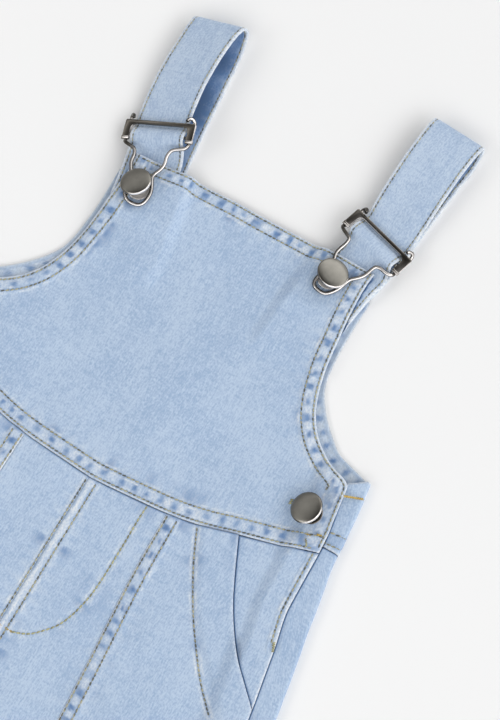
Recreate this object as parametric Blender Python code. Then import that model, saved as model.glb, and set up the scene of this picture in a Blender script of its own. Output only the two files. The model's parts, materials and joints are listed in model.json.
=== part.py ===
"""Child's dungarees in light denim, laid flat on their back with the straps folded forward.

The sizes are in metres. The tables give y above the lowest point of the front waist seam and
x from the middle of the garment; the model's origin lies ORIGIN_UP above that seam, on the
underside of the back bib. +Y points to the straps and +Z up; left and right, in the names too,
are those of someone looking at the front.
"""
import math
from bisect import bisect_right

import bmesh
import bpy
from mathutils import Vector

# Cloth and the spaces between its layers
CLOTH = 0.0012
STRAP = 0.0018
GAP = 0.0003
BACK_TOP = CLOTH
FIRST_LEVEL = BACK_TOP + GAP
WRAP_RADIUS = 0.0015
WRAP_RISE = 2 * WRAP_RADIUS
UNDERLAP = 0.012
CLIMB = 0.008
MARGIN = 0.004
ORIGIN_UP = 0.045

# Raised seam and hem bands: how far they stand up and how wide they are
BAND_RISE = 0.0007
SEAM_BAND = 0.0065
SIDE_HEM_BAND = 0.0085
LEG_HEM_BAND = 0.012
CENTRE_RIDGE_RISE = 0.0005
CENTRE_RIDGE_WIDTH = 0.005

# Share of a narrow row's width that the columns at fixed distances may take
NARROW_SHARE = 0.95

# How far the cloth keeps clear of what it climbs over
BESIDE_STRAP = 0.0024
BELOW_STRAP = 0.004
WRAP_FADE_FROM = 0.066
WRAP_FADE = 0.006

# Main sizes of the garment
BIB_TOP = 0.172
BACK_BIB_TOP = 0.158
BACK_WAIST = 0.029
WAIST_SIDE = 0.0247
ARMHOLE_LOW = 0.0706
WRAP_DROP = 0.014
CROTCH = -0.145
LEG_HEM = -0.497
CENTRE_SEAM = -0.0017
POCKET_CORNER = -0.0616
POCKET_BOTTOM = -0.075
POCKET_UNDERLAP = 0.014

# Straps and metal
STRAP_HALF = 0.016
STRAP_END = 0.118
TAIL_END = 0.144
FRAME_LENGTH = 0.0415
FRAME_DEPTH = 0.011
FRAME_THICK = 0.0016
BAR_WIDTH = 0.0022
ARM_WIDTH = 0.0038
SLIDE_AT = 0.008
SLIDE_DROP = 0.0013
SLIDE_RADIUS = 0.001
WIRE_RADIUS = 0.0009
BUTTON_SIDES = 20

# Colours, roughness and metallic value of the finishes
DENIM = ((0.45, 0.58, 0.76), 0.9, 0.0)
DENIM_INSIDE = ((0.36, 0.48, 0.68), 0.9, 0.0)
GUNMETAL = ((0.24, 0.23, 0.22), 0.35, 1.0)
NICKEL = ((0.42, 0.40, 0.38), 0.25, 1.0)


def table(columns, *rows):
    """A short table: its named columns as lists."""
    return {name: [row[i] for row in rows] for i, name in enumerate(columns.split())}


# Lower edge of the waist seam, from the middle to the side
WAIST_LINE = table(
    "x y",
    (0.000, 0.0010),
    (0.016, 0.0021),
    (0.044, 0.0045),
    (0.061, 0.0075),
    (0.081, 0.0132),
    (0.102, 0.0189),
    (0.122, 0.0247),
)

# Front bib: half its width from the waist seam's side end to the top
BIB_EDGE = table(
    "y x",
    (0.0247, 0.1216),
    (0.0352, 0.1210),
    (0.0438, 0.1198),
    (0.0519, 0.1188),
    (0.0635, 0.1172),
    (0.0659, 0.1150),
    (0.0710, 0.1065),
    (0.0765, 0.0990),
    (0.0840, 0.0905),
    (0.0940, 0.0832),
    (0.1050, 0.0786),
    (0.1180, 0.0756),
    (0.1300, 0.0742),
    (0.1450, 0.0728),
    (0.1600, 0.0722),
    (0.1720, 0.0730),
)

# Back bib: half its width above the armhole's lowest point
BACK_BIB_EDGE = table(
    "y x",
    (0.0706, 0.1248),
    (0.0722, 0.1205),
    (0.0738, 0.1150),
    (0.0770, 0.1050),
    (0.0820, 0.0985),
    (0.0880, 0.0922),
    (0.0950, 0.0862),
    (0.1050, 0.0805),
    (0.1150, 0.0785),
    (0.1340, 0.0775),
    (0.1580, 0.0780),
)

# Side fold of the garment as it lies, which is its outline
OUTLINE = table(
    "y x",
    (-0.497, 0.1430),
    (-0.400, 0.1462),
    (-0.300, 0.1490),
    (-0.200, 0.1508),
    (-0.145, 0.1508),
    (-0.100, 0.1490),
    (-0.0587, 0.1444),
    (-0.0247, 0.1387),
    (0.0064, 0.1338),
    (0.0262, 0.1306),
    (0.0500, 0.1293),
    (0.0706, 0.1269),
)

# Side edge of the front, which lies on the back's wrap
SIDE_EDGE = table(
    "y x",
    (-0.497, 0.1330),
    (-0.300, 0.1375),
    (-0.200, 0.1390),
    (-0.145, 0.1388),
    (-0.100, 0.1368),
    (-0.0616, 0.1318),
    (-0.0434, 0.1287),
    (-0.0287, 0.1262),
    (-0.0074, 0.1222),
    (0.0108, 0.1218),
    (0.0247, 0.1216),
    (0.0635, 0.1172),
)

# Seam between the front's middle and side panels
PANEL_SEAM = table(
    "y x",
    (-0.497, 0.0770),
    (-0.400, 0.0700),
    (-0.250, 0.0600),
    (-0.145, 0.0520),
    (-0.0800, 0.0476),
    (-0.0550, 0.0456),
    (-0.0260, 0.0437),
    (0.0033, 0.0431),
)

# Pocket opening, from its corner on the side seam to the waist
POCKET_EDGE = table(
    "y x",
    (-0.0750, 0.1450),
    (-0.0616, 0.1318),
    (-0.0518, 0.1216),
    (-0.0430, 0.1128),
    (-0.0313, 0.1039),
    (-0.0181, 0.0957),
    (-0.0033, 0.0884),
    (0.0131, 0.0809),
)

# Inner leg edge below the crotch
INSEAM = table(
    "y x",
    (-0.497, 0.0230),
    (-0.400, 0.0190),
    (-0.300, 0.0145),
    (-0.200, 0.0090),
    (-0.160, 0.0050),
    (-0.149, 0.0022),
    (-0.145, 0.0003),
)

# Broad soft swellings of the front: middle, half lengths along x and y, height
SWELLINGS = table(
    "x y wide long high",
    (0.004, 0.075, 0.078, 0.050, 0.0012),
    (0.082, -0.110, 0.046, 0.085, 0.0016),
    (-0.078, -0.125, 0.046, 0.090, 0.0014),
    (0.084, -0.245, 0.044, 0.080, 0.0018),
    (-0.086, -0.270, 0.044, 0.095, 0.0020),
    (0.088, -0.400, 0.042, 0.080, 0.0016),
    (-0.085, -0.415, 0.040, 0.070, 0.0014),
)

# Straps: centre of each station, turn of its width in plan, roll and half width. The first
# rows run up from the sewn end behind the bib, the last ones come forward to the buckle.
STRAP_ROWS = {
    "left": table(
        "x y z skew roll half",
        (-0.0515, 0.1180, 0.0024, 9, 0, 0.0160),
        (-0.0550, 0.1380, 0.0024, 9, 0, 0.0160),
        (-0.0588, 0.1585, 0.0024, 9, 0, 0.0160),
        (-0.0602, 0.1670, 0.0009, 9, 0, 0.0160),
        (-0.0643, 0.1960, 0.0009, 8, 0, 0.0160),
        (-0.0677, 0.2280, 0.0009, 7, 0, 0.0160),
        (-0.0696, 0.2450, 0.0012, 8, 0, 0.0160),
        (-0.0712, 0.2540, 0.0026, 10, 0, 0.0160),
        (-0.0724, 0.2590, 0.0062, 11, 4, 0.0160),
        (-0.0732, 0.2572, 0.0100, 11, 10, 0.0158),
        (-0.0740, 0.2480, 0.0117, 9, 15, 0.0155),
        (-0.0742, 0.2350, 0.0119, 8, 17, 0.0154),
        (-0.0738, 0.2200, 0.0112, 9, 17, 0.0154),
        (-0.0724, 0.2060, 0.0100, 13, 17, 0.0155),
    ),
    "right": table(
        "x y z skew roll half",
        (0.0565, 0.1180, 0.0024, -7, 0, 0.0160),
        (0.0580, 0.1380, 0.0024, -7, 0, 0.0160),
        (0.0610, 0.1585, 0.0024, -7, 0, 0.0160),
        (0.0628, 0.1670, 0.0009, -7, 0, 0.0160),
        (0.0656, 0.1820, 0.0009, -6, 0, 0.0160),
        (0.0690, 0.2120, 0.0009, -5, 0, 0.0160),
        (0.0722, 0.2420, 0.0010, -5, 0, 0.0161),
        (0.0740, 0.2560, 0.0017, -5, 0, 0.0162),
        (0.0740, 0.2640, 0.0034, -5, 0, 0.0163),
        (0.0736, 0.2664, 0.0064, -5, 0, 0.0163),
        (0.0731, 0.2640, 0.0093, -5, 0, 0.0163),
        (0.0716, 0.2540, 0.0104, -4, 0, 0.0162),
        (0.0700, 0.2380, 0.0098, -3, 0, 0.0161),
        (0.0689, 0.2200, 0.0082, -3, 1, 0.0160),
        (0.0683, 0.2060, 0.0062, -9, 1, 0.0159),
    ),
}

# Strap through the buckle: distance below the bar and height over the frame's middle plane
STRAP_IN_FRAME = table(
    "down over",
    (-0.0022, -0.0023),
    (0.0024, -0.0023),
    (0.0052, -0.0007),
    (0.0080, 0.0009),
    (0.0108, 0.0006),
)

# The strap's free end, below the buckle and down behind the bib
TAIL_ROWS = {
    "left": table(
        "x y z skew roll half",
        (-0.0653, 0.1762, 0.0062, 13, 5, 0.0156),
        (-0.0640, 0.1718, 0.0045, 10, 0, 0.0158),
        (-0.0618, 0.1620, 0.0045, 9, 0, 0.0158),
        (-0.0585, TAIL_END, 0.0045, 9, 0, 0.0158),
    ),
    "right": table(
        "x y z skew roll half",
        (0.0648, 0.1782, 0.0060, -10, 0, 0.0150),
        (0.0642, 0.1722, 0.0045, -7, 0, 0.0159),
        (0.0616, 0.1620, 0.0045, -7, 0, 0.0159),
        (0.0588, TAIL_END, 0.0045, -7, 0, 0.0159),
    ),
}

# Buckle frames: the bar's outer end nearest the viewer's left, the bar's turn and its tilt
FRAME_ROWS = {
    "left": {"corner": (-0.0892, 0.1841, 0.0044), "turn": 17, "tilt": 17},
    "right": {"corner": (0.0472, 0.2001, 0.0075), "turn": -17, "tilt": 0},
}

# Hooks: the bent wire between the two arm ends, round under the button
HOOK_ROWS = {
    "left": table(
        "x y z",
        (-0.0829, 0.1716, 0.0062),
        (-0.0786, 0.1703, 0.0084),
        (-0.0756, 0.1697, 0.0092),
        (-0.0735, 0.1664, 0.0093),
        (-0.0730, 0.1622, 0.0091),
        (-0.0706, 0.1582, 0.0090),
        (-0.0688, 0.1535, 0.0089),
        (-0.0679, 0.1480, 0.0088),
        (-0.0660, 0.1438, 0.0088),
        (-0.0620, 0.1414, 0.0085),
        (-0.0574, 0.1419, 0.0083),
        (-0.0545, 0.1450, 0.0084),
        (-0.0540, 0.1505, 0.0086),
        (-0.0560, 0.1558, 0.0088),
        (-0.0585, 0.1606, 0.0091),
        (-0.0565, 0.1652, 0.0096),
        (-0.0558, 0.1690, 0.0106),
        (-0.0568, 0.1729, 0.0121),
        (-0.0562, 0.1765, 0.0135),
        (-0.0527, 0.1790, 0.0144),
        (-0.0496, 0.1815, 0.0146),
    ),
    "right": table(
        "x y z",
        (0.0445, 0.1872, 0.0072),
        (0.0476, 0.1841, 0.0097),
        (0.0519, 0.1816, 0.0106),
        (0.0517, 0.1788, 0.0100),
        (0.0500, 0.1744, 0.0093),
        (0.0494, 0.1711, 0.0091),
        (0.0502, 0.1676, 0.0090),
        (0.0495, 0.1630, 0.0088),
        (0.0477, 0.1570, 0.0086),
        (0.0471, 0.1515, 0.0084),
        (0.0498, 0.1486, 0.0083),
        (0.0545, 0.1480, 0.0083),
        (0.0584, 0.1510, 0.0084),
        (0.0612, 0.1560, 0.0086),
        (0.0628, 0.1612, 0.0089),
        (0.0662, 0.1643, 0.0091),
        (0.0690, 0.1677, 0.0091),
        (0.0703, 0.1718, 0.0092),
        (0.0716, 0.1748, 0.0092),
        (0.0744, 0.1753, 0.0092),
        (0.0778, 0.1744, 0.0090),
        (0.0812, 0.1752, 0.0082),
    ),
}

# Buttons: middle of the cap's underside, the direction the cap's axis leans in and by how much,
# and height of the cloth under the foot
BUTTON_ROWS = table(
    "name x y under towards lean foot",
    ("bib_button_left", -0.0632, 0.1517, 0.0125, 159, 20, 0.0072),
    ("bib_button_right", 0.0541, 0.1588, 0.0125, 50, 18, 0.0072),
    ("side_button_left", -0.1051, 0.0412, 0.0102, 350, 14, 0.0060),
    ("side_button_right", 0.1051, 0.0412, 0.0104, 183, 26, 0.0060),
)

# Profile of a button round its axis: radius, height above the foot or the cap's underside
FOOT_PROFILE = ((0.0032, 0.0), (0.0032, 0.0008), (0.0021, 0.0011))
CAP_PROFILE = (
    (0.0021, -0.0004),
    (0.0080, 0.0),
    (0.00875, 0.0005),
    (0.00875, 0.0012),
    (0.0081, 0.0018),
    (0.0055, 0.0022),
    (0.0025, 0.0024),
)


def slope(xs, values, i):
    """Slope of a smooth curve at a table's row, level at its turning points."""
    before = (values[i] - values[i - 1]) / (xs[i] - xs[i - 1]) if i > 0 else None
    after = (values[i + 1] - values[i]) / (xs[i + 1] - xs[i]) if i + 1 < len(xs) else None
    if before is None:
        return after
    if after is None:
        return before
    return 0.0 if before * after <= 0 else 2 * before * after / (before + after)


def curve(rows, name, at, along="y"):
    """Value of a column on the smooth curve through a table's rows."""
    xs = rows[along] if along else range(len(rows[name]))
    values = rows[name]
    if at <= xs[0]:
        return values[0]
    if at >= xs[-1]:
        return values[-1]
    i = bisect_right(xs, at) - 1
    step = xs[i + 1] - xs[i]
    t = (at - xs[i]) / step
    start = slope(xs, values, i) * step
    end = slope(xs, values, i + 1) * step
    change = values[i + 1] - values[i]
    square = 3 * change - 2 * start - end
    cube = start + end - 2 * change
    return values[i] + start * t + square * t ** 2 + cube * t ** 3


def ramp(past, width):
    """1 up to an edge, falling smoothly to 0 a width past it."""
    t = min(max(past / width, 0.0), 1.0)
    return 1 - t * t * (3 - 2 * t)


def material(name, finish):
    """A plain Principled finish for one piece."""
    colour, roughness, metallic = finish
    made = bpy.data.materials.new(name)
    made.use_nodes = True
    shader = made.node_tree.nodes["Principled BSDF"]
    shader.inputs["Base Color"].default_value = (*colour, 1)
    shader.inputs["Roughness"].default_value = roughness
    shader.inputs["Metallic"].default_value = metallic
    return made


def place(mesh, name, finish, smooth=35):
    """Put a finished bmesh in the scene as one named object, faces pointing out."""
    bmesh.ops.recalc_face_normals(mesh, faces=mesh.faces)
    if mesh.calc_volume(signed=True) < 0:
        bmesh.ops.reverse_faces(mesh, faces=mesh.faces)
    bmesh.ops.translate(mesh, verts=mesh.verts, vec=(0, -ORIGIN_UP, 0))
    data = bpy.data.meshes.new(name)
    mesh.to_mesh(data)
    mesh.free()
    data.shade_smooth()
    data.set_sharp_from_angle(angle=math.radians(smooth))
    data.materials.append(material(name, finish))
    made = bpy.data.objects.new(name, data)
    bpy.context.scene.collection.objects.link(made)
    return made


def wall(name, columns, rows, faces_at, finish, keep=None):
    """A closed wall over a grid of lines: faces_at(i, j) gives its lower and upper point."""
    mesh = bmesh.new()
    last_column = columns - 1
    last_row = rows - 1
    bmesh.ops.create_grid(mesh, x_segments=last_column, y_segments=last_row, size=0.5)
    if keep:
        outside = [face for face in mesh.faces
                   if not keep(int((face.calc_center_median().x + 0.5) * last_column),
                               int((face.calc_center_median().y + 0.5) * last_row))]
        bmesh.ops.delete(mesh, geom=outside, context="FACES")
    extruded = bmesh.ops.extrude_face_region(mesh, geom=mesh.faces[:])
    upper = {item for item in extruded["geom"] if isinstance(item, bmesh.types.BMVert)}
    points = {}
    for vert in mesh.verts:
        i = round((vert.co.x + 0.5) * last_column)
        j = round((vert.co.y + 0.5) * last_row)
        points[vert] = faces_at(i, j)[vert in upper]
    for vert, point in points.items():
        vert.co = point
    return place(mesh, name, finish)


def columns_between(left, right, near, inside, far):
    """x of a panel's columns: distances from its left edge, shares, distances from its right.

    Where the panel is narrower than these distances, they shrink to fit.
    """
    fit = min(1.0, NARROW_SHARE * (right - left) / (near[-1] + far[-1] + GAP))
    near = [d * fit for d in near]
    far = [d * fit for d in far]
    start = left + near[-1]
    stop = right - far[-1]
    between = [start + share * (stop - start) for share in inside]
    return [left + d for d in near] + between + [right - d for d in reversed(far)]


def side_edge(y):
    """x of the front's side edge."""
    return curve(SIDE_EDGE, "x", y)


def swelling(x, y):
    """How far the front stands off the back where nothing lies between them."""
    high = 0.0
    for i in range(len(SWELLINGS["x"])):
        across = (x - SWELLINGS["x"][i]) / SWELLINGS["wide"][i]
        along = (y - SWELLINGS["y"][i]) / SWELLINGS["long"][i]
        high += SWELLINGS["high"][i] * ramp(math.hypot(across, along), 1.0)
    return high


def strap_station(side, y):
    """x of the strap's back run at a height y."""
    rows = STRAP_ROWS[side]
    back_run = {"x": rows["x"][:4], "y": rows["y"][:4]}
    return curve(back_run, "x", y)


def strap_lift(x, y):
    """How far the bib is lifted by the strap's sewn end and its free end behind it."""
    aside = abs(x - strap_station("left" if x < 0 else "right", y)) - STRAP_HALF - BESIDE_STRAP
    layers = ramp(STRAP_END - BELOW_STRAP - y, 0.012) + ramp(TAIL_END - BELOW_STRAP - y, 0.010)
    return (STRAP + GAP) * layers * ramp(aside, CLIMB)


def on_wrap(x, y, early=0.0):
    """1 over the part of the side wrap that lies under the front, 0 away from it."""
    return ramp(side_edge(y) - UNDERLAP - GAP - early - abs(x), CLIMB) * ramp(y - WRAP_FADE_FROM, WRAP_FADE)


def first_level(x, y, early=0.0):
    """Underside of the cloth that lies first on the back: it climbs onto the side wraps."""
    return FIRST_LEVEL + max(WRAP_RISE * on_wrap(x, y, early), strap_lift(x, y)) + swelling(x, y)


def facing_edge(y):
    """x of the pocket facing's hidden inner edge."""
    return min(curve(POCKET_EDGE, "x", y), side_edge(y) + 0.006) - POCKET_UNDERLAP


def side_level(x, y):
    """Underside of the front's side panels, which lie on the pocket facings."""
    over_facing = ramp(facing_edge(y) - MARGIN - abs(x), CLIMB) * ramp(POCKET_BOTTOM - MARGIN - y, CLIMB)
    return first_level(x, y, MARGIN) + (CLOTH + GAP) * over_facing


def band(distance, width):
    """Height of a raised band within a width of an edge."""
    return BAND_RISE if distance < width else 0.0


def panel(name, side, rows, row_y, edges, lines, level, relief, finish=DENIM):
    """A flat-lying panel: rows of points between two edges, each at its level plus its relief.

    row_y(x, row) is the y of a row at x, edges the x of the panel's inner and outer edge at a y,
    lines the near, inside and far columns, relief(inner, outer, x, y, row) the raised bands.
    """
    def edge_x(edge, row):
        x = edge(row)
        for _ in range(6):
            x = edge(row_y(x, row))
        return x

    grid = []
    for row in rows:
        inner = edge_x(edges[0], row)
        outer = edge_x(edges[1], row)
        points = []
        for x in columns_between(inner, outer, *lines):
            y = row_y(x, row)
            low = level(side * x, y)
            high = low + CLOTH + relief(x - inner, outer - x, x, y, row)
            points.append((Vector((side * x, y, low)), Vector((side * x, y, high))))
        grid.append(points)
    return wall(name, len(grid[0]), len(grid), lambda i, j: grid[j][i], finish)


def waist(x):
    """y of the waist seam at x."""
    return curve(WAIST_LINE, "y", abs(x), along="x")


def bib_row(x, row):
    """y of one of the bib's rows: they follow the waist seam below and are level above."""
    return row + (waist(x) - WAIST_SIDE) * ramp(row - WAIST_SIDE - 0.012, 0.100) + GAP / 2


def leg_row(x, row):
    """y of one of the legs' rows: they follow the waist seam above and are level below."""
    return row + waist(x) * ramp(-row, 0.070) - GAP / 2


def front_bib():
    """The bib with its turned hems and the waist band along its lower edge."""
    rows = [WAIST_SIDE, 0.0333, 0.0343, 0.044, 0.054, 0.0635, 0.0659, 0.0684, 0.071, 0.0737, 0.0765,
            0.084, 0.094, 0.105, 0.118, 0.131, 0.1435, 0.154, 0.1635, 0.1645, BIB_TOP]

    def edge(y):
        return curve(BIB_EDGE, "x", y)

    def hem(y):
        """Width of the side hem along x, which is wider where the armhole slants."""
        slant = abs(edge(y + 0.001) - edge(y - 0.001)) / 0.002
        return min(math.hypot(1, slant), 1.9)

    def column_xs(row, half, y):
        """x of the bib's columns: hems, side climb, and the inner edges of the straps behind it."""
        wide = hem(row) if row > 0.0636 else 1.0
        foot = SIDE_HEM_BAND * wide
        near = [0, foot - 0.0010 * wide, foot, foot + 0.0045, foot + 0.0120]
        beside = STRAP_HALF + 0.0020
        halves = []
        for side, word in ((1, "right"), (-1, "left")):
            strap = abs(strap_station(word, y)) - beside
            outer = [half - d for d in near]
            inner = [(outer[-1] + strap) / 2, strap, strap - CLIMB]
            halves.append([side * x for x in outer + inner])
        right, left = halves
        middle = [left[-1] + share * (right[-1] - left[-1]) for share in (0.33, 0.67)]
        return left + middle + right[::-1]

    grid = []
    hem_columns = 2
    for row in rows:
        xs = column_xs(row, edge(row), row)
        points = []
        for k, x in enumerate(xs):
            y = bib_row(x, row)
            in_side_hem = k < hem_columns or k >= len(xs) - hem_columns
            in_band = row < 0.034 or row > 0.164
            low = first_level(x, y)
            high = low + CLOTH + (BAND_RISE if in_side_hem or in_band else 0)
            points.append((Vector((x, y, low)), Vector((x, y, high))))
        grid.append(points)
    wall("front_bib", len(grid[0]), len(grid), lambda i, j: grid[j][i], DENIM)


def inner_edge(side, y):
    """x of a leg's inner edge: the centre seam above the crotch, the inner leg seam below it."""
    shift = side * CENTRE_SEAM * ramp(CROTCH + 0.025 - y, 0.025)
    return curve(INSEAM, "x", y) + shift + GAP / 2


def front_centre(side, name):
    """The front's middle panel of one leg, with the hem and the ridge of the centre seam."""
    rows = [LEG_HEM, LEG_HEM + 0.0115, LEG_HEM + 0.0125, -0.44, -0.38, -0.32, -0.26, -0.21, -0.175,
            -0.158, -0.149, CROTCH, -0.138, -0.125, -0.11, -0.09, -0.07, -0.052, -0.035, -0.020, -0.010, 0.0]
    lines = ([0, 0.0045, 0.0055], [0.35, 0.68], [0])

    def seam(y):
        return curve(PANEL_SEAM, "x", y) - GAP / 2

    def relief(inner, outer, x, y, row):
        on_ridge = inner < CENTRE_RIDGE_WIDTH and row > CROTCH + 0.003 and side > 0
        ridge = CENTRE_RIDGE_RISE if on_ridge else 0.0
        return max(ridge, band(row - LEG_HEM, LEG_HEM_BAND))

    panel(name, side, rows, leg_row, (lambda y: inner_edge(side, y), seam), lines, first_level, relief)


def front_side(side, name):
    """The front's side panel of one leg, cut away along the pocket opening."""
    rows = [LEG_HEM, LEG_HEM + 0.0115, LEG_HEM + 0.0125, -0.44, -0.38, -0.32, -0.26, -0.21, -0.175,
            -0.145, -0.12, -0.1, -0.0835, -0.0755, -0.0685, POCKET_CORNER, -0.0556, -0.048, -0.040,
            -0.031, -0.022, -0.014, -0.007, 0.0]
    lines = ([0, 0.0060, 0.0070], [0.5], [0, 0.0060, 0.0125, 0.0180, 0.0222, 0.0264])

    def seam(y):
        return curve(PANEL_SEAM, "x", y) + GAP / 2

    def outer_edge(y):
        return curve(POCKET_EDGE, "x", y) if y > POCKET_CORNER else side_edge(y)

    def relief(inner, outer, x, y, row):
        return max(band(inner, SEAM_BAND), band(row - LEG_HEM, LEG_HEM_BAND))

    panel(name, side, rows, leg_row, (seam, outer_edge), lines, side_level, relief)


def pocket_facing(side, name):
    """The cloth behind the pocket opening, out to the side edge."""
    rows = [POCKET_BOTTOM, -0.068, POCKET_CORNER, -0.052, -0.042, -0.031, -0.020, -0.010, 0.0]
    lines = ([0], [0.35, 0.7], [0, 0.0050, 0.0125, 0.0165, 0.0206])

    panel(name, side, rows, leg_row, (facing_edge, side_edge), lines, first_level,
          lambda inner, outer, x, y, row: 0.0)


# Stations round the side fold: turn of the cloth, then share of the way back in under the front
FOLD_TURNS = (0, 45, 90, 135, 180)
TUCK_SHARES = (0.55, 1.0)


def fold_point(y, k, drop=0.0):
    """Lower and upper point of the back cloth at station k round the side fold."""
    flat_end = curve(OUTLINE, "x", y) - WRAP_RADIUS - CLOTH / 2
    turn = math.radians(FOLD_TURNS[min(k, len(FOLD_TURNS) - 1)])
    height = CLOTH / 2 + WRAP_RADIUS * (1 - math.cos(turn))
    middle = Vector((flat_end + WRAP_RADIUS * math.sin(turn), y, height))
    if k >= len(FOLD_TURNS):
        share = TUCK_SHARES[k - len(FOLD_TURNS)]
        middle.x -= share * (flat_end - side_edge(y) + UNDERLAP)
        middle.y -= share * drop
    out = Vector((math.sin(turn), 0, -math.cos(turn))) * CLOTH / 2
    return middle - out, middle + out


def back_bib():
    """The back bib in one piece with the two wraps that come forward round the sides."""
    rows = [BACK_WAIST + GAP / 2, 0.039, 0.050, 0.060, ARMHOLE_LOW, 0.0722, 0.0738, 0.077, 0.082,
            0.088, 0.095, 0.105, 0.115, 0.134, BACK_BIB_TOP]
    flap = len(FOLD_TURNS) - 1 + len(TUCK_SHARES)
    shares = [-1, -0.82, -0.6, -0.2, 0.2, 0.6, 0.82, 1]
    columns = 2 * flap + len(shares)
    wrapped = rows.index(ARMHOLE_LOW)

    def faces_at(i, j):
        y = rows[j]
        if flap <= i < columns - flap:
            fold = curve(OUTLINE, "x", y) - WRAP_RADIUS - CLOTH / 2
            half = fold if j <= wrapped else curve(BACK_BIB_EDGE, "x", y)
            x = shares[i - flap] * half
            return Vector((x, y, CLOTH)), Vector((x, y, 0))
        side = -1 if i < flap else 1
        station = flap - i if i < flap else i - (columns - flap) + 1
        drop = WRAP_DROP * ramp(ARMHOLE_LOW - y, 0.040)
        points = fold_point(y, station, drop)
        return tuple(Vector((side * p.x, p.y, p.z)) for p in points)

    def keep(i, j):
        return flap <= i < columns - flap - 1 or j < wrapped

    wall("back_bib", columns, len(rows), faces_at, DENIM_INSIDE, keep)


def back_leg(side, name):
    """The back of one leg, wrapped forward round the side to lie under the front's edge."""
    rows = [LEG_HEM, -0.44, -0.38, -0.32, -0.26, -0.21, -0.175, -0.158, -0.149, CROTCH, -0.125, -0.1,
            -0.080, -0.0587, -0.042, -0.0247, -0.009, 0.0064, BACK_WAIST - GAP / 2]
    shares = [0, 0.4, 0.8]
    columns = len(shares) + len(FOLD_TURNS) + len(TUCK_SHARES)

    def faces_at(i, j):
        y = rows[j]
        if i >= len(shares):
            points = fold_point(y, i - len(shares))
            return tuple(Vector((side * p.x, p.y, p.z)) for p in points)
        inner = curve(INSEAM, "x", y) + GAP / 2
        fold = curve(OUTLINE, "x", y) - WRAP_RADIUS - CLOTH / 2
        x = side * (inner + shares[i] * (fold - inner))
        return Vector((x, y, CLOTH)), Vector((x, y, 0))

    wall(name, columns, len(rows), faces_at, DENIM)


def frame_axes(side):
    """Corner, bar direction, arm direction and normal of a buckle frame."""
    row = FRAME_ROWS[side]
    turn = math.radians(row["turn"])
    tilt = math.radians(row["tilt"])
    bar = Vector((math.cos(turn), math.sin(turn), math.tan(tilt))).normalized()
    arm = Vector((math.sin(turn), -math.cos(turn), 0))
    return Vector(row["corner"]), bar, arm, arm.cross(bar)


def frame_point(side, along, down, over):
    """A point given along a frame's bar, down its arms and over its middle plane."""
    corner, bar, arm, normal = frame_axes(side)
    return corner + bar * along + arm * down + normal * over


def strap_path(side):
    """The strap's stations from its sewn end over the shoulder and through the buckle."""
    names = ("x", "y", "z", "skew", "roll", "half")
    path = {name: list(STRAP_ROWS[side][name]) for name in names}
    row = FRAME_ROWS[side]
    for down, over in zip(STRAP_IN_FRAME["down"], STRAP_IN_FRAME["over"]):
        point = frame_point(side, FRAME_LENGTH / 2, down, over)
        station = (point.x, point.y, point.z, row["turn"], row["tilt"], 0.0157)
        for name, value in zip(names, station):
            path[name].append(value)
    for name in names:
        path[name].extend(TAIL_ROWS[side][name])
    return path


def strap(side, name):
    """One strap: a two-layer band with slightly thinner edges."""
    path = strap_path(side)
    stations = len(path["x"])
    halves = []
    for k in range(stations - 1):
        halves.extend([k, k + 0.5])
    halves.append(stations - 1)
    shares = (-1, -0.9, 0, 0.9, 1)
    thinness = (0.7, 1, 1, 1, 0.7)

    def centre(u):
        return Vector([curve(path, axis, u, along=None) for axis in "xyz"])

    def faces_at(i, j):
        u = halves[j]
        skew = math.radians(curve(path, "skew", u, along=None))
        roll = math.radians(curve(path, "roll", u, along=None))
        across = Vector((math.cos(skew), math.sin(skew), math.tan(roll))).normalized()
        onward = centre(u + 0.08) - centre(u - 0.08)
        normal = across.cross(onward).normalized()
        middle = centre(u) + across * shares[i] * curve(path, "half", u, along=None)
        out = normal * STRAP / 2 * thinness[i]
        return middle + out, middle - out

    wall(name, len(shares), len(halves), faces_at, DENIM)


def buckle_frame(side, name):
    """The buckle's top bar with its two arms, a flat plate bent to a U."""
    half = [(0.0, 0.0), (0.0, FRAME_DEPTH), (ARM_WIDTH, FRAME_DEPTH), (ARM_WIDTH + 0.0004, 0.0052),
            (0.0055, BAR_WIDTH)]
    outline = half + [(FRAME_LENGTH - u, v) for u, v in reversed(half)]
    mesh = bmesh.new()
    verts = [mesh.verts.new(frame_point(side, u, v, -FRAME_THICK / 2)) for u, v in outline]
    face = mesh.faces.new(verts)
    extruded = bmesh.ops.extrude_face_region(mesh, geom=[face])
    top = [item for item in extruded["geom"] if isinstance(item, bmesh.types.BMVert)]
    bmesh.ops.translate(mesh, verts=top, vec=frame_axes(side)[3] * FRAME_THICK)
    bmesh.ops.bevel(mesh, geom=mesh.edges[:], offset=0.0003, affect="EDGES", segments=1, profile=0.5,
                    material=-1)
    place(mesh, name, NICKEL)


def tube(name, points, radius, finish, resolution=2):
    """A round wire through a list of points, with closed ends."""
    data = bpy.data.curves.new(name, "CURVE")
    data.dimensions = "3D"
    data.bevel_depth = radius
    data.bevel_resolution = resolution
    data.use_fill_caps = True
    spline = data.splines.new("POLY")
    spline.points.add(len(points) - 1)
    for point, target in zip(spline.points, points):
        point.co = (target.x, target.y - ORIGIN_UP, target.z, 1)
    data.materials.append(material(name, finish))
    made = bpy.data.objects.new(name, data)
    bpy.context.scene.collection.objects.link(made)


def buckle_slide(side, name):
    """The cross rod between the arms, which the strap passes over."""
    ends = (ARM_WIDTH + 0.0004 + GAP, FRAME_LENGTH - ARM_WIDTH - 0.0004 - GAP)
    tube(name, [frame_point(side, u, SLIDE_AT, -SLIDE_DROP) for u in ends], SLIDE_RADIUS, NICKEL)


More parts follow.
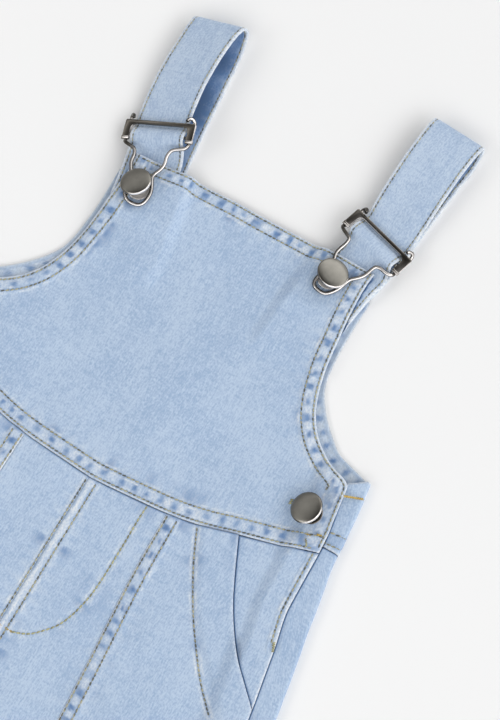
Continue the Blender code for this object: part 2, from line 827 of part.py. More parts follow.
def buckle_hook(side, name):
    """The bent wire that hangs from the arms and hooks round the bib button."""
    rows = HOOK_ROWS[side]
    middle = [Vector((rows["x"][k], rows["y"][k], rows["z"][k])) for k in range(len(rows["x"]))]
    under = -FRAME_THICK / 2 - GAP - WIRE_RADIUS
    inset = ARM_WIDTH / 2
    start = [frame_point(side, inset, down, under) for down in (0.0015, 0.006, 0.0105)]
    end = [frame_point(side, FRAME_LENGTH - inset, down, under) for down in (0.0105, 0.006, 0.0015)]
    stops = start + middle + end
    path = {axis: [getattr(stop, axis) for stop in stops] for axis in "xyz"}
    smooth = []
    for k in range(2 * len(stops) - 1):
        smooth.append(Vector([curve(path, axis, k / 2, along=None) for axis in "xyz"]))
    tube(name, smooth, WIRE_RADIUS, NICKEL)


def button(name, finish):
    """A domed cap on a short shank, leaning as the pull of the cloth leaves it."""
    k = BUTTON_ROWS["name"].index(name)
    row = {column: values[k] for column, values in BUTTON_ROWS.items()}
    towards = math.radians(row["towards"])
    slant = math.tan(math.radians(row["lean"]))
    axis = Vector((slant * math.cos(towards), slant * math.sin(towards), 1)).normalized()
    under = Vector((row["x"], row["y"], row["under"]))
    shank = (row["under"] - row["foot"]) / axis.z
    foot = under - axis * shank
    upright = Vector((0, 0, 1))
    rings = [(foot, upright, radius, height) for radius, height in FOOT_PROFILE]
    rings += [(under, axis, radius, height) for radius, height in CAP_PROFILE]
    mesh = bmesh.new()
    before = None
    for middle, normal, radius, height in rings:
        turn = upright.rotation_difference(normal).to_matrix()
        circle = []
        for k in range(BUTTON_SIDES):
            angle = 2 * math.pi * k / BUTTON_SIDES
            offset = turn @ Vector((radius * math.cos(angle), radius * math.sin(angle), height))
            circle.append(mesh.verts.new(middle + offset))
        edges = [mesh.edges.new((circle[k - 1], circle[k])) for k in range(BUTTON_SIDES)]
        if before:
            bmesh.ops.bridge_loops(mesh, edges=before + edges)
        else:
            mesh.faces.new(circle)
        before = edges
    mesh.faces.new(circle)
    place(mesh, name, finish, smooth=50)


def main():
    """Build every piece of the garment."""
    for old in list(bpy.data.objects):
        bpy.data.objects.remove(old, do_unlink=True)
    front_bib()
    back_bib()
    for side, word in ((-1, "left"), (1, "right")):
        front_centre(side, "front_centre_" + word)
        front_side(side, "front_side_" + word)
        pocket_facing(side, "pocket_facing_" + word)
        back_leg(side, "back_leg_" + word)
        strap(word, "strap_" + word)
        buckle_frame(word, "buckle_frame_" + word)
        buckle_slide(word, "buckle_slide_" + word)
        buckle_hook(word, "buckle_hook_" + word)
        button("bib_button_" + word, GUNMETAL)
        button("side_button_" + word, GUNMETAL)


main()
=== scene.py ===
"""Child's denim dungarees laid flat: fine cloth, sewing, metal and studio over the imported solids.

The sizes are in metres. Tables give x from the middle of the garment and y above the lowest
point of the front waist seam; the model's origin lies ORIGIN_UP above that seam. Left and right
are those of someone looking at the front.
"""
import json
import math

import bmesh
import bpy
import numpy as np
from bpy.props import FloatProperty, FloatVectorProperty, IntProperty, PointerProperty
from mathutils import Matrix, Vector
from mathutils.bvhtree import BVHTree

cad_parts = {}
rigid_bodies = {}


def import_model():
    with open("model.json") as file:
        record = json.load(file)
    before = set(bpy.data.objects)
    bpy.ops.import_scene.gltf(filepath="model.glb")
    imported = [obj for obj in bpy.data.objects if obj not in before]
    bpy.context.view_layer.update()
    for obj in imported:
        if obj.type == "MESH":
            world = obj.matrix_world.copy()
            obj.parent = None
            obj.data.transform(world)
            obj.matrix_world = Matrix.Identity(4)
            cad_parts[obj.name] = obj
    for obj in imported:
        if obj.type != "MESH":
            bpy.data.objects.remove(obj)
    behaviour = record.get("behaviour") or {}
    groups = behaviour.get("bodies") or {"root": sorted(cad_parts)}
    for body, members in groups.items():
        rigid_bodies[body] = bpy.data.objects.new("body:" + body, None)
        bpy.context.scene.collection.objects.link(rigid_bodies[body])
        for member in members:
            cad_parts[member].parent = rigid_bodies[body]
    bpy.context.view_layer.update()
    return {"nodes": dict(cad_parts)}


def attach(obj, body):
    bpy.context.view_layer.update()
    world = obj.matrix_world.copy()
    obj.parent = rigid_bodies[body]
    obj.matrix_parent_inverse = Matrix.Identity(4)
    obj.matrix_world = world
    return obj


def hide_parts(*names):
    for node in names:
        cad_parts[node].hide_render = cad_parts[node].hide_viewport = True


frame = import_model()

bl_info = {
    "name": "Denim dungarees",
    "version": (1, 0, 0),
    "blender": (4, 5, 0),
    "location": "View3D > Sidebar > Dungarees",
    "description": "Cloth, sewing and metal of a child's denim dungarees laid flat",
    "category": "Add Mesh",
}

# Cloth and the spaces between its layers
CLOTH = 0.0012
BACK_CLOTH = CLOTH - 0.0001
STRAP = 0.0018
GAP = 0.0003
FIRST_LEVEL = CLOTH + GAP
WRAP_RADIUS = 0.0015
WRAP_RISE = 2 * WRAP_RADIUS
UNDERLAP = 0.012
CLIMB = 0.008
MARGIN = 0.004
HAIR = 0.00002
RIDGE = 0.0006
ORIGIN_UP = 0.045
BESIDE_STRAP = 0.0024
BELOW_STRAP = 0.004
WRAP_FADE_FROM = 0.066
WRAP_FADE = 0.006

# Main sizes of the garment
BIB_TOP = 0.172
BACK_BIB_TOP = 0.158
BACK_WAIST = 0.029
WAIST_SIDE = 0.0247
BIB_HIP = 0.0635
BIB_ARM = 0.0610
BIB_TOP_HALF = 0.0730
SIDE_OPENING_LOW = -0.0287
ARMHOLE_LOW = 0.0706
WRAP_DROP = 0.014
CROTCH = -0.145
LEG_HEM = -0.497
CENTRE_SEAM = -0.0017
POCKET_CORNER = -0.0616
POCKET_BOTTOM = -0.075
FINE_TO = -0.215
POCKET_UNDERLAP = 0.014
STRAP_HALF = 0.016
STRAP_HALF_IN_FRAME = 0.0157
STRAP_END = 0.118
TAIL_END = 0.144
FRAME_LENGTH = 0.0415
FRAME_DEPTH = 0.011
FRAME_THICK = 0.0016
BAR_WIDTH = 0.0022
ARM_WIDTH = 0.0038
FRAME_FILLET = 0.0028
FOOT_RADIUS = 0.00115
WIRE_RADIUS = 0.0009


def table(columns, *rows):
    """A short table: its named columns as lists."""
    return {name: [row[i] for row in rows] for i, name in enumerate(columns.split())}


# Lower edge of the waist seam, from the middle to the side
WAIST_LINE = table(
    "x y",
    (0.000, 0.0010),
    (0.016, 0.0021),
    (0.044, 0.0045),
    (0.061, 0.0075),
    (0.081, 0.0132),
    (0.102, 0.0189),
    (0.122, 0.0247),
)

# Front bib: half its width from the waist seam's side end to the top
BIB_EDGE = table(
    "y x",
    (0.0247, 0.1216),
    (0.0352, 0.1210),
    (0.0438, 0.1198),
    (0.0519, 0.1188),
    (0.0635, 0.1172),
    (0.0659, 0.1150),
    (0.0710, 0.1065),
    (0.0765, 0.0990),
    (0.0840, 0.0905),
    (0.0940, 0.0832),
    (0.1050, 0.0786),
    (0.1180, 0.0756),
    (0.1300, 0.0742),
    (0.1450, 0.0728),
    (0.1600, 0.0722),
    (0.1720, 0.0730),
)

# Back bib: half its width above the armhole's lowest point
BACK_BIB_EDGE = table(
    "y x",
    (0.0706, 0.1248),
    (0.0722, 0.1205),
    (0.0738, 0.1150),
    (0.0770, 0.1050),
    (0.0820, 0.0985),
    (0.0880, 0.0922),
    (0.0950, 0.0862),
    (0.1050, 0.0805),
    (0.1150, 0.0785),
    (0.1340, 0.0775),
    (0.1580, 0.0780),
)

# Side fold of the garment as it lies, which is its outline
OUTLINE = table(
    "y x",
    (-0.497, 0.1430),
    (-0.400, 0.1462),
    (-0.300, 0.1490),
    (-0.200, 0.1508),
    (-0.145, 0.1508),
    (-0.100, 0.1490),
    (-0.0587, 0.1444),
    (-0.0247, 0.1387),
    (0.0064, 0.1338),
    (0.0262, 0.1306),
    (0.0500, 0.1293),
    (0.0706, 0.1269),
)

# Side edge of the front, which lies on the back's wrap
SIDE_EDGE = table(
    "y x",
    (-0.497, 0.1330),
    (-0.300, 0.1375),
    (-0.200, 0.1390),
    (-0.145, 0.1388),
    (-0.100, 0.1368),
    (-0.0616, 0.1318),
    (-0.0434, 0.1287),
    (-0.0287, 0.1262),
    (-0.0074, 0.1222),
    (0.0108, 0.1218),
    (0.0247, 0.1216),
    (0.0635, 0.1172),
)

# Seam between the front's middle and side panels
PANEL_SEAM = table(
    "y x",
    (-0.497, 0.0770),
    (-0.400, 0.0700),
    (-0.250, 0.0600),
    (-0.145, 0.0520),
    (-0.0800, 0.0476),
    (-0.0550, 0.0456),
    (-0.0260, 0.0437),
    (0.0033, 0.0431),
)

# Pocket opening, from its corner on the side seam to the waist
POCKET_EDGE = table(
    "y x",
    (-0.0750, 0.1450),
    (-0.0616, 0.1318),
    (-0.0518, 0.1216),
    (-0.0430, 0.1128),
    (-0.0313, 0.1039),
    (-0.0181, 0.0957),
    (-0.0033, 0.0884),
    (0.0131, 0.0809),
)

# Inner leg edge below the crotch
INSEAM = table(
    "y x",
    (-0.497, 0.0230),
    (-0.400, 0.0190),
    (-0.300, 0.0145),
    (-0.200, 0.0090),
    (-0.160, 0.0050),
    (-0.149, 0.0022),
    (-0.145, 0.0003),
)

# Broad soft swellings of the front: middle, half lengths along x and y, height
SWELLINGS = table(
    "x y wide long high",
    (0.004, 0.075, 0.078, 0.050, 0.0012),
    (0.082, -0.110, 0.046, 0.085, 0.0016),
    (-0.078, -0.125, 0.046, 0.090, 0.0014),
    (0.084, -0.245, 0.044, 0.080, 0.0018),
    (-0.086, -0.270, 0.044, 0.095, 0.0020),
    (0.088, -0.400, 0.042, 0.080, 0.0016),
    (-0.085, -0.415, 0.040, 0.070, 0.0014),
)

# Straps: centre of each station, turn of its width in plan, roll and half width. The first
# rows run up from the sewn end behind the bib, the last ones come forward to the buckle.
STRAP_ROWS = {
    "left": table(
        "x y z skew roll half",
        (-0.0515, 0.1180, 0.0024, 9, 0, 0.0160),
        (-0.0550, 0.1380, 0.0024, 9, 0, 0.0160),
        (-0.0588, 0.1585, 0.0024, 9, 0, 0.0160),
        (-0.0602, 0.1670, 0.0009, 9, 0, 0.0160),
        (-0.0643, 0.1960, 0.0009, 8, 0, 0.0160),
        (-0.0677, 0.2280, 0.0009, 7, 0, 0.0160),
        (-0.0696, 0.2450, 0.0012, 8, 0, 0.0160),
        (-0.0712, 0.2540, 0.0026, 10, 0, 0.0160),
        (-0.0724, 0.2590, 0.0062, 11, 4, 0.0160),
        (-0.0732, 0.2572, 0.0100, 11, 10, 0.0158),
        (-0.0740, 0.2480, 0.0117, 9, 15, 0.0155),
        (-0.0742, 0.2350, 0.0119, 8, 17, 0.0154),
        (-0.0738, 0.2200, 0.0112, 9, 17, 0.0154),
        (-0.0724, 0.2060, 0.0100, 13, 17, 0.0155),
    ),
    "right": table(
        "x y z skew roll half",
        (0.0565, 0.1180, 0.0024, -7, 0, 0.0160),
        (0.0580, 0.1380, 0.0024, -7, 0, 0.0160),
        (0.0610, 0.1585, 0.0024, -7, 0, 0.0160),
        (0.0628, 0.1670, 0.0009, -7, 0, 0.0160),
        (0.0656, 0.1820, 0.0009, -6, 0, 0.0160),
        (0.0690, 0.2120, 0.0009, -5, 0, 0.0160),
        (0.0722, 0.2420, 0.0010, -5, 0, 0.0161),
        (0.0740, 0.2560, 0.0017, -5, 0, 0.0162),
        (0.0740, 0.2640, 0.0034, -5, 0, 0.0163),
        (0.0736, 0.2664, 0.0064, -5, 0, 0.0163),
        (0.0731, 0.2640, 0.0093, -5, 0, 0.0163),
        (0.0716, 0.2540, 0.0104, -4, 0, 0.0162),
        (0.0700, 0.2380, 0.0098, -3, 0, 0.0161),
        (0.0689, 0.2200, 0.0082, -3, 1, 0.0160),
        (0.0683, 0.2060, 0.0062, -9, 1, 0.0159),
    ),
}

# Strap through the buckle: distance below the bar and height over the frame's middle plane
STRAP_IN_FRAME = table(
    "down over",
    (-0.0022, -0.0023),
    (0.0024, -0.0023),
    (0.0052, -0.0007),
    (0.0080, 0.0009),
    (0.0108, 0.0006),
)

# The strap's free end, below the buckle and down behind the bib
TAIL_ROWS = {
    "left": table(
        "x y z skew roll half",
        (-0.0653, 0.1762, 0.0062, 13, 5, 0.0156),
        (-0.0640, 0.1718, 0.0045, 10, 0, 0.0158),
        (-0.0618, 0.1620, 0.0045, 9, 0, 0.0158),
        (-0.0585, TAIL_END, 0.0045, 9, 0, 0.0158),
    ),
    "right": table(
        "x y z skew roll half",
        (0.0648, 0.1782, 0.0060, -10, 0, 0.0150),
        (0.0642, 0.1722, 0.0045, -7, 0, 0.0159),
        (0.0616, 0.1620, 0.0045, -7, 0, 0.0159),
        (0.0588, TAIL_END, 0.0045, -7, 0, 0.0159),
    ),
}

# Buckle frames: the bar's outer end nearest the viewer's left, the bar's turn and its tilt
FRAME_ROWS = {
    "left": {"corner": (-0.0892, 0.1841, 0.0044), "turn": 17, "tilt": 17},
    "right": {"corner": (0.0472, 0.2001, 0.0075), "turn": -17, "tilt": 0},
}

# Hooks: the bent wire between the two arm ends, round under the button
HOOK_ROWS = {
    "left": table(
        "x y z",
        (-0.0829, 0.1716, 0.0062),
        (-0.0786, 0.1703, 0.0084),
        (-0.0756, 0.1697, 0.0092),
        (-0.0735, 0.1664, 0.0093),
        (-0.0730, 0.1622, 0.0091),
        (-0.0706, 0.1582, 0.0090),
        (-0.0688, 0.1535, 0.0089),
        (-0.0679, 0.1480, 0.0088),
        (-0.0660, 0.1438, 0.0088),
        (-0.0620, 0.1414, 0.0085),
        (-0.0574, 0.1419, 0.0083),
        (-0.0545, 0.1450, 0.0084),
        (-0.0540, 0.1505, 0.0086),
        (-0.0560, 0.1558, 0.0088),
        (-0.0585, 0.1606, 0.0091),
        (-0.0565, 0.1652, 0.0096),
        (-0.0558, 0.1690, 0.0106),
        (-0.0568, 0.1729, 0.0121),
        (-0.0562, 0.1765, 0.0135),
        (-0.0527, 0.1790, 0.0144),
        (-0.0496, 0.1815, 0.0146),
    ),
    "right": table(
        "x y z",
        (0.0445, 0.1872, 0.0072),
        (0.0476, 0.1841, 0.0097),
        (0.0519, 0.1816, 0.0106),
        (0.0517, 0.1788, 0.0100),
        (0.0500, 0.1744, 0.0093),
        (0.0494, 0.1711, 0.0091),
        (0.0502, 0.1676, 0.0090),
        (0.0495, 0.1630, 0.0088),
        (0.0477, 0.1570, 0.0086),
        (0.0471, 0.1515, 0.0084),
        (0.0498, 0.1486, 0.0083),
        (0.0545, 0.1480, 0.0083),
        (0.0584, 0.1510, 0.0084),
        (0.0612, 0.1560, 0.0086),
        (0.0628, 0.1612, 0.0089),
        (0.0662, 0.1643, 0.0091),
        (0.0690, 0.1677, 0.0091),
        (0.0703, 0.1718, 0.0092),
        (0.0716, 0.1748, 0.0092),
        (0.0744, 0.1753, 0.0092),
        (0.0778, 0.1744, 0.0090),
        (0.0812, 0.1752, 0.0082),
    ),
}

# Buttons: middle of the cap's underside, the direction the cap's axis leans in and by how much,
# and height of the cloth under the foot
BUTTON_ROWS = table(
    "name x y under towards lean foot",
    ("bib_button_left", -0.0632, 0.1517, 0.0125, 159, 20, 0.0072),
    ("bib_button_right", 0.0541, 0.1588, 0.0125, 50, 18, 0.0072),
    ("side_button_left", -0.1051, 0.0412, 0.0102, 350, 14, 0.0060),
    ("side_button_right", 0.1051, 0.0412, 0.0104, 183, 26, 0.0060),
)

# Seam rows beside the main edges and the widths of their raised bands, all measured from the edge
BIB_HEM_ROWS = (0.0015, 0.0078)
BIB_HEM_BAND = 0.0086
WAIST_ROWS = (0.0016, 0.0086)
WAIST_BAND = 0.0095
PANEL_ROWS = (0.0010, 0.0066)
PANEL_BAND = 0.0075
LEG_HEM_ROW = 0.0105
LEG_HEM_BAND = 0.012
SIDE_ROW = 0.0026
WRAP_WAIST_ROWS = (0.0030, 0.0094)
WRAP_HEM_ROW = 0.0065
STRAP_ROW = 0.0019

# Curved row of the fly and the row that holds the pocket bag, on the right side of the front
FLY_ROW = table(
    "x y",
    (0.0324, 0.0030),
    (0.0319, -0.0051),
    (0.0321, -0.0166),
    (0.0322, -0.0309),
    (0.0318, -0.0474),
    (0.0299, -0.0599),
    (0.0258, -0.0717),
    (0.0205, -0.0786),
    (0.0139, -0.0847),
    (0.0062, -0.0877),
)
POCKET_BAG_ROW = table(
    "x y",
    (0.0603, 0.0060),
    (0.0675, -0.0096),
    (0.0755, -0.0241),
    (0.0842, -0.0380),
    (0.0938, -0.0512),
    (0.1029, -0.0626),
    (0.1144, -0.0744),
)

# Creases given one by one: both ends, half width, height (negative for a dent)
BIB_CREASES = table(
    "x1 y1 x2 y2 wide high",
    (-0.050, 0.128, -0.020, 0.096, 0.0090, 0.0006),
    (0.048, 0.132, 0.022, 0.090, 0.0100, 0.0007),
    (-0.095, 0.048, -0.050, 0.060, 0.0080, 0.0005),
    (0.090, 0.052, 0.040, 0.058, 0.0090, -0.0005),
    (-0.010, 0.040, 0.030, 0.048, 0.0070, 0.0004),
    (0.000, 0.150, 0.006, 0.110, 0.0080, -0.0004),
)
LEG_CREASES = table(
    "x1 y1 x2 y2 wide high",
    (0.119, 0.0165, 0.102, 0.0150, 0.0024, 0.0009),
    (0.060, -0.050, 0.078, -0.062, 0.0060, 0.0005),
    (0.056, -0.085, 0.092, -0.105, 0.0065, 0.0006),
    (0.006, -0.118, 0.050, -0.108, 0.0060, 0.0007),
    (0.008, -0.135, 0.070, -0.142, 0.0070, 0.0008),
    (0.012, -0.160, 0.080, -0.190, 0.0080, 0.0007),
    (0.120, -0.125, 0.080, -0.150, 0.0080, -0.0006),
    (0.030, -0.240, 0.100, -0.262, 0.0090, 0.0007),
    (0.130, -0.285, 0.060, -0.305, 0.0100, 0.0007),
    (0.035, -0.365, 0.095, -0.352, 0.0090, -0.0006),
    (0.120, -0.430, 0.050, -0.445, 0.0080, 0.0006),
    (-0.004, -0.112, -0.046, -0.100, 0.0060, 0.0007),
    (-0.006, -0.132, -0.080, -0.146, 0.0075, 0.0008),
    (-0.118, 0.006, -0.096, 0.004, 0.0040, 0.0007),
    (-0.056, -0.070, -0.096, -0.092, 0.0070, 0.0006),
    (-0.125, -0.140, -0.070, -0.172, 0.0090, -0.0006),
    (-0.020, -0.210, -0.085, -0.232, 0.0085, 0.0007),
    (-0.130, -0.300, -0.050, -0.285, 0.0095, 0.0006),
    (-0.030, -0.375, -0.090, -0.398, 0.0090, 0.0007),
    (-0.120, -0.455, -0.060, -0.440, 0.0080, -0.0005),
)
BACK_CREASES = table(
    "x1 y1 x2 y2 wide high",
    (-0.090, 0.030, -0.030, 0.052, 0.0090, 0.0005),
    (0.085, 0.045, 0.025, 0.034, 0.0080, 0.0005),
    (0.030, -0.060, 0.110, -0.095, 0.0090, 0.0005),
    (-0.025, -0.085, -0.105, -0.070, 0.0090, 0.0005),
    (0.020, -0.150, 0.120, -0.165, 0.0080, 0.0006),
    (-0.022, -0.160, -0.110, -0.150, 0.0080, 0.0006),
    (0.040, -0.270, 0.120, -0.250, 0.0100, 0.0005),
    (-0.045, -0.330, -0.120, -0.345, 0.0100, 0.0005),
)


class DenimSettings(bpy.types.PropertyGroup):
    """Colours and weave of the denim."""

    light: FloatVectorProperty(name="Light", description="Colour of the worn crests of the weave",
                               subtype="COLOR", default=(0.52, 0.635, 0.795))
    middle: FloatVectorProperty(name="Middle", description="Colour of the hollows of the weave",
                                subtype="COLOR", default=(0.35, 0.475, 0.67))
    # The deep colour also gives, darkened, the painted shadow and the painted shade of the cloth's edges
    deep: FloatVectorProperty(name="Deep", description="Colour left between the seam rows",
                              subtype="COLOR", default=(0.13, 0.24, 0.46))
    worn: FloatVectorProperty(name="Worn", description="Colour of worn fold edges",
                              subtype="COLOR", default=(0.80, 0.84, 0.88))
    inside: FloatVectorProperty(name="Inner face", description="Colour of the cloth's inner face",
                                subtype="COLOR", default=(0.54, 0.65, 0.79))
    slub: FloatProperty(name="Slub", description="Strength of the streaks along the warp",
                        min=0, max=1, default=0.30)
    weave: FloatProperty(name="Weave", description="Depth of the weave's relief",
                         min=0, max=0.001, default=0.00012, unit="LENGTH")


class SewingSettings(bpy.types.PropertyGroup):
    """Threads and stitch sizes."""

    pitch: FloatProperty(name="Pitch", description="Distance between stitches",
                         min=0.001, default=0.0025, unit="LENGTH")
    width: FloatProperty(name="Width", description="Width of a stitch",
                         min=0.0001, default=0.00104, unit="LENGTH")
    tan: FloatVectorProperty(name="Tan thread", description="Colour of most rows",
                             subtype="COLOR", default=(0.46, 0.44, 0.30))
    olive: FloatVectorProperty(name="Olive thread", description="Darker strand of the rows",
                               subtype="COLOR", default=(0.10, 0.11, 0.10))
    straw: FloatVectorProperty(name="Straw thread", description="Colour of the fly's row",
                               subtype="COLOR", default=(0.50, 0.48, 0.26))
    gold: FloatVectorProperty(name="Gold thread", description="Colour of the bartacks",
                              subtype="COLOR", default=(0.71, 0.48, 0.08))


class MetalSettings(bpy.types.PropertyGroup):
    """Finish of the buttons and buckles."""

    nickel: FloatVectorProperty(name="Nickel", description="Colour of the wires and buckles",
                                subtype="COLOR", default=(0.17, 0.155, 0.135))
    # Colour of the painted highlights on the nickel
    bright: FloatVectorProperty(name="Bright", description="Colour of the nickel where it is rubbed",
                                subtype="COLOR", default=(0.95, 0.90, 0.87))
    cap: FloatVectorProperty(name="Caps", description="Colour of the button caps",
                             subtype="COLOR", default=(0.222, 0.213, 0.190))
    sides: IntProperty(name="Sides", description="Sides of the round pieces", min=12, default=56)


class StageSettings(bpy.types.PropertyGroup):
    """Floor, light and camera."""

    floor: FloatVectorProperty(name="Floor", description="Colour of the floor",
                               subtype="COLOR", default=(0.95, 0.95, 0.95))
    lens: FloatProperty(name="Lens", description="Focal length in millimetres", min=10, default=100)
    distance: FloatProperty(name="Distance", description="From the camera to its aim",
                            min=0.1, default=1.06, unit="LENGTH")
    azimuth: FloatProperty(name="Azimuth", description="Turn of the camera round the garment",
                           default=math.radians(30), subtype="ANGLE")
    elevation: FloatProperty(name="Elevation", description="Camera's height over the floor",
                             default=math.radians(72), subtype="ANGLE")
    key: FloatProperty(name="Key light", description="Power of the main light in watts",
                       min=0, default=3.6)
    world: FloatProperty(name="Room light", description="Strength of the row of lamps round the room",
                         min=0, default=2.82)
    left: FloatProperty(name="Left wall", description="Light from the left, as a share of the rest",
                        min=0, max=1, default=0.42)


# Curves and levels of the laid cloth


def curve(rows, name, at, along="y"):
    """Values of a column on the smooth curve through a table's rows."""
    values = np.array(rows[name], float)
    xs = np.array(rows[along] if along else range(len(values)), float)
    at = np.clip(np.asarray(at, float), xs[0], xs[-1])
    step = np.diff(xs)
    rise = np.diff(values) / step
    slope = np.empty_like(values)
    slope[0] = rise[0]
    slope[-1] = rise[-1]
    turning = rise[:-1] * rise[1:] <= 0
    total = np.where(turning, 1.0, rise[:-1] + rise[1:])
    slope[1:-1] = np.where(turning, 0.0, 2 * rise[:-1] * rise[1:] / total)
    i = np.clip(np.searchsorted(xs, at, side="right") - 1, 0, len(xs) - 2)
    t = (at - xs[i]) / step[i]
    start = slope[i] * step[i]
    end = slope[i + 1] * step[i]
    change = values[i + 1] - values[i]
    square = 3 * change - 2 * start - end
    cube = start + end - 2 * change
    return values[i] + start * t + square * t ** 2 + cube * t ** 3


def ramp(past, width):
    """1 up to an edge, falling smoothly to 0 a width past it."""
    t = np.clip(past / width, 0.0, 1.0)
    return 1 - t * t * (3 - 2 * t)


def bell(far, width):
    """1 at no distance, falling softly to 0 on both sides."""
    return np.exp(-(far / width) ** 2)


LATTICE = 97


def noise(x, y, size, seed):
    """Smooth noise between -1 and 1 with hills of about a size."""
    lattice = np.random.default_rng(seed).uniform(-1, 1, (LATTICE, LATTICE))
    u = np.asarray(x, float) / size + 31.7
    v = np.asarray(y, float) / size + 17.3
    i = np.floor(u).astype(int)
    j = np.floor(v).astype(int)
    f = u - i
    g = v - j
    f = f * f * (3 - 2 * f)
    g = g * g * (3 - 2 * g)

    def between(row):
        return lattice[i % LATTICE, row % LATTICE] * (1 - f) + lattice[(i + 1) % LATTICE, row % LATTICE] * f

    return between(j) * (1 - g) + between(j + 1) * g


def side_edge(y):
    """x of the front's side edge."""
    return curve(SIDE_EDGE, "x", y)


def swelling(x, y):
    """How far the front stands off the back where nothing lies between them."""
    high = 0.0
    for i in range(len(SWELLINGS["x"])):
        across = (x - SWELLINGS["x"][i]) / SWELLINGS["wide"][i]
        along = (y - SWELLINGS["y"][i]) / SWELLINGS["long"][i]
        high = high + SWELLINGS["high"][i] * ramp(np.hypot(across, along), 1.0)
    return high


def strap_station(side, y):
    """x of the strap's back run at a height y."""
    rows = STRAP_ROWS[side]
    return curve({"x": rows["x"][:4], "y": rows["y"][:4]}, "x", y)


def strap_lift(x, y):
    """How far the bib is lifted by the strap's sewn end and its free end behind it."""
    middle = np.where(x < 0, strap_station("left", y), strap_station("right", y))
    aside = np.abs(x - middle) - STRAP_HALF - BESIDE_STRAP
    layers = ramp(STRAP_END - BELOW_STRAP - y, 0.012) + ramp(TAIL_END - BELOW_STRAP - y, 0.010)
    return (STRAP + GAP) * layers * ramp(aside, CLIMB)


def on_wrap(x, y, early=0.0):
    """1 over the part of the side wrap that lies under the front, 0 away from it."""
    inside = side_edge(y) - UNDERLAP - GAP - early - np.abs(x)
    return ramp(inside, CLIMB) * ramp(y - WRAP_FADE_FROM, WRAP_FADE)


def first_level(x, y, early=0.0):
    """Underside of the cloth that lies first on the back: it climbs onto the side wraps."""
    return FIRST_LEVEL + np.maximum(WRAP_RISE * on_wrap(x, y, early), strap_lift(x, y)) + swelling(x, y)


def facing_edge(y):
    """x of the pocket facing's hidden inner edge."""
    return np.minimum(curve(POCKET_EDGE, "x", y), side_edge(y) + 0.006) - POCKET_UNDERLAP


def side_level(x, y):
    """Underside of the front's side panels, which lie on the pocket facings."""
    over = ramp(facing_edge(y) - MARGIN - np.abs(x), CLIMB) * ramp(POCKET_BOTTOM - MARGIN - y, CLIMB)
    return first_level(x, y, MARGIN) + (CLOTH + GAP) * over


def waist(x):
    """y of the waist seam at x."""
    return curve(WAIST_LINE, "y", np.abs(x), along="x")


def bib_row(x, row):
    """y of one of the bib's rows: they follow the waist seam below and are level above."""
    return row + (waist(x) - WAIST_SIDE) * ramp(row - WAIST_SIDE - 0.012, 0.100) + GAP / 2


def leg_row(x, row):
    """y of one of the legs' rows: they follow the waist seam above and are level below."""
    return row + waist(x) * ramp(-row, 0.070) - GAP / 2


def inner_edge(side, y):
    """x of a leg's inner edge: the centre seam above the crotch, the inner leg seam below it."""
    shift = side * CENTRE_SEAM * ramp(CROTCH + 0.025 - y, 0.025)
    return curve(INSEAM, "x", y) - INSEAM["x"][-1] + shift + HAIR


# Lines, seams and what they do to the cloth


def line_of(rows):
    """A table's smooth curve as a line of points, evenly spread over its rows."""
    at = np.linspace(0, len(rows["x"]) - 1, 8 * len(rows["x"]))
    return np.stack([curve(rows, "x", at, None), curve(rows, "y", at, None)], 1)


def beside(line, x, y):
    """Distance of points from a line, and how far along it the nearest place lies."""
    step = np.diff(line, axis=0)
    length = np.hypot(step[:, 0], step[:, 1])
    start = np.concatenate([[0], np.cumsum(length)])
    best = np.full(np.shape(x), np.inf)
    along = np.zeros(np.shape(x))
    for k in range(len(step)):
        dx = x - line[k, 0]
        dy = y - line[k, 1]
        t = np.clip((dx * step[k, 0] + dy * step[k, 1]) / length[k] ** 2, 0, 1)
        far = np.hypot(dx - t * step[k, 0], dy - t * step[k, 1])
        near = far < best
        best[near] = far[near]
        along[near] = start[k] + t[near] * length[k]
    return best, along


def shifted(line, by):
    """A line moved sideways, to its left where by is above 0."""
    step = np.gradient(line, axis=0)
    length = np.hypot(step[:, 0], step[:, 1])[:, None]
    return line + by * np.stack([-step[:, 1], step[:, 0]], 1) / length


def seam(line, rows, band, seed, rise=0.0007, fold=1.0, rope=1.0, pucker=1.0):
    """A seam along a line: its rows of stitches, the width and rise of its band, and as shares the
    wear of its fold, its roping and the puckers beside it."""
    return {"line": line, "rows": rows, "band": band, "rise": rise, "fold": fold, "rope": rope,
            "pucker": pucker, "seed": seed}


def puckers(line, pucker, seed, rows=()):
    """What a seam does to the cloth beside it, without a band of its own."""
    return seam(line, rows, 0.0, seed, rise=0.0, fold=0.0, pucker=pucker)


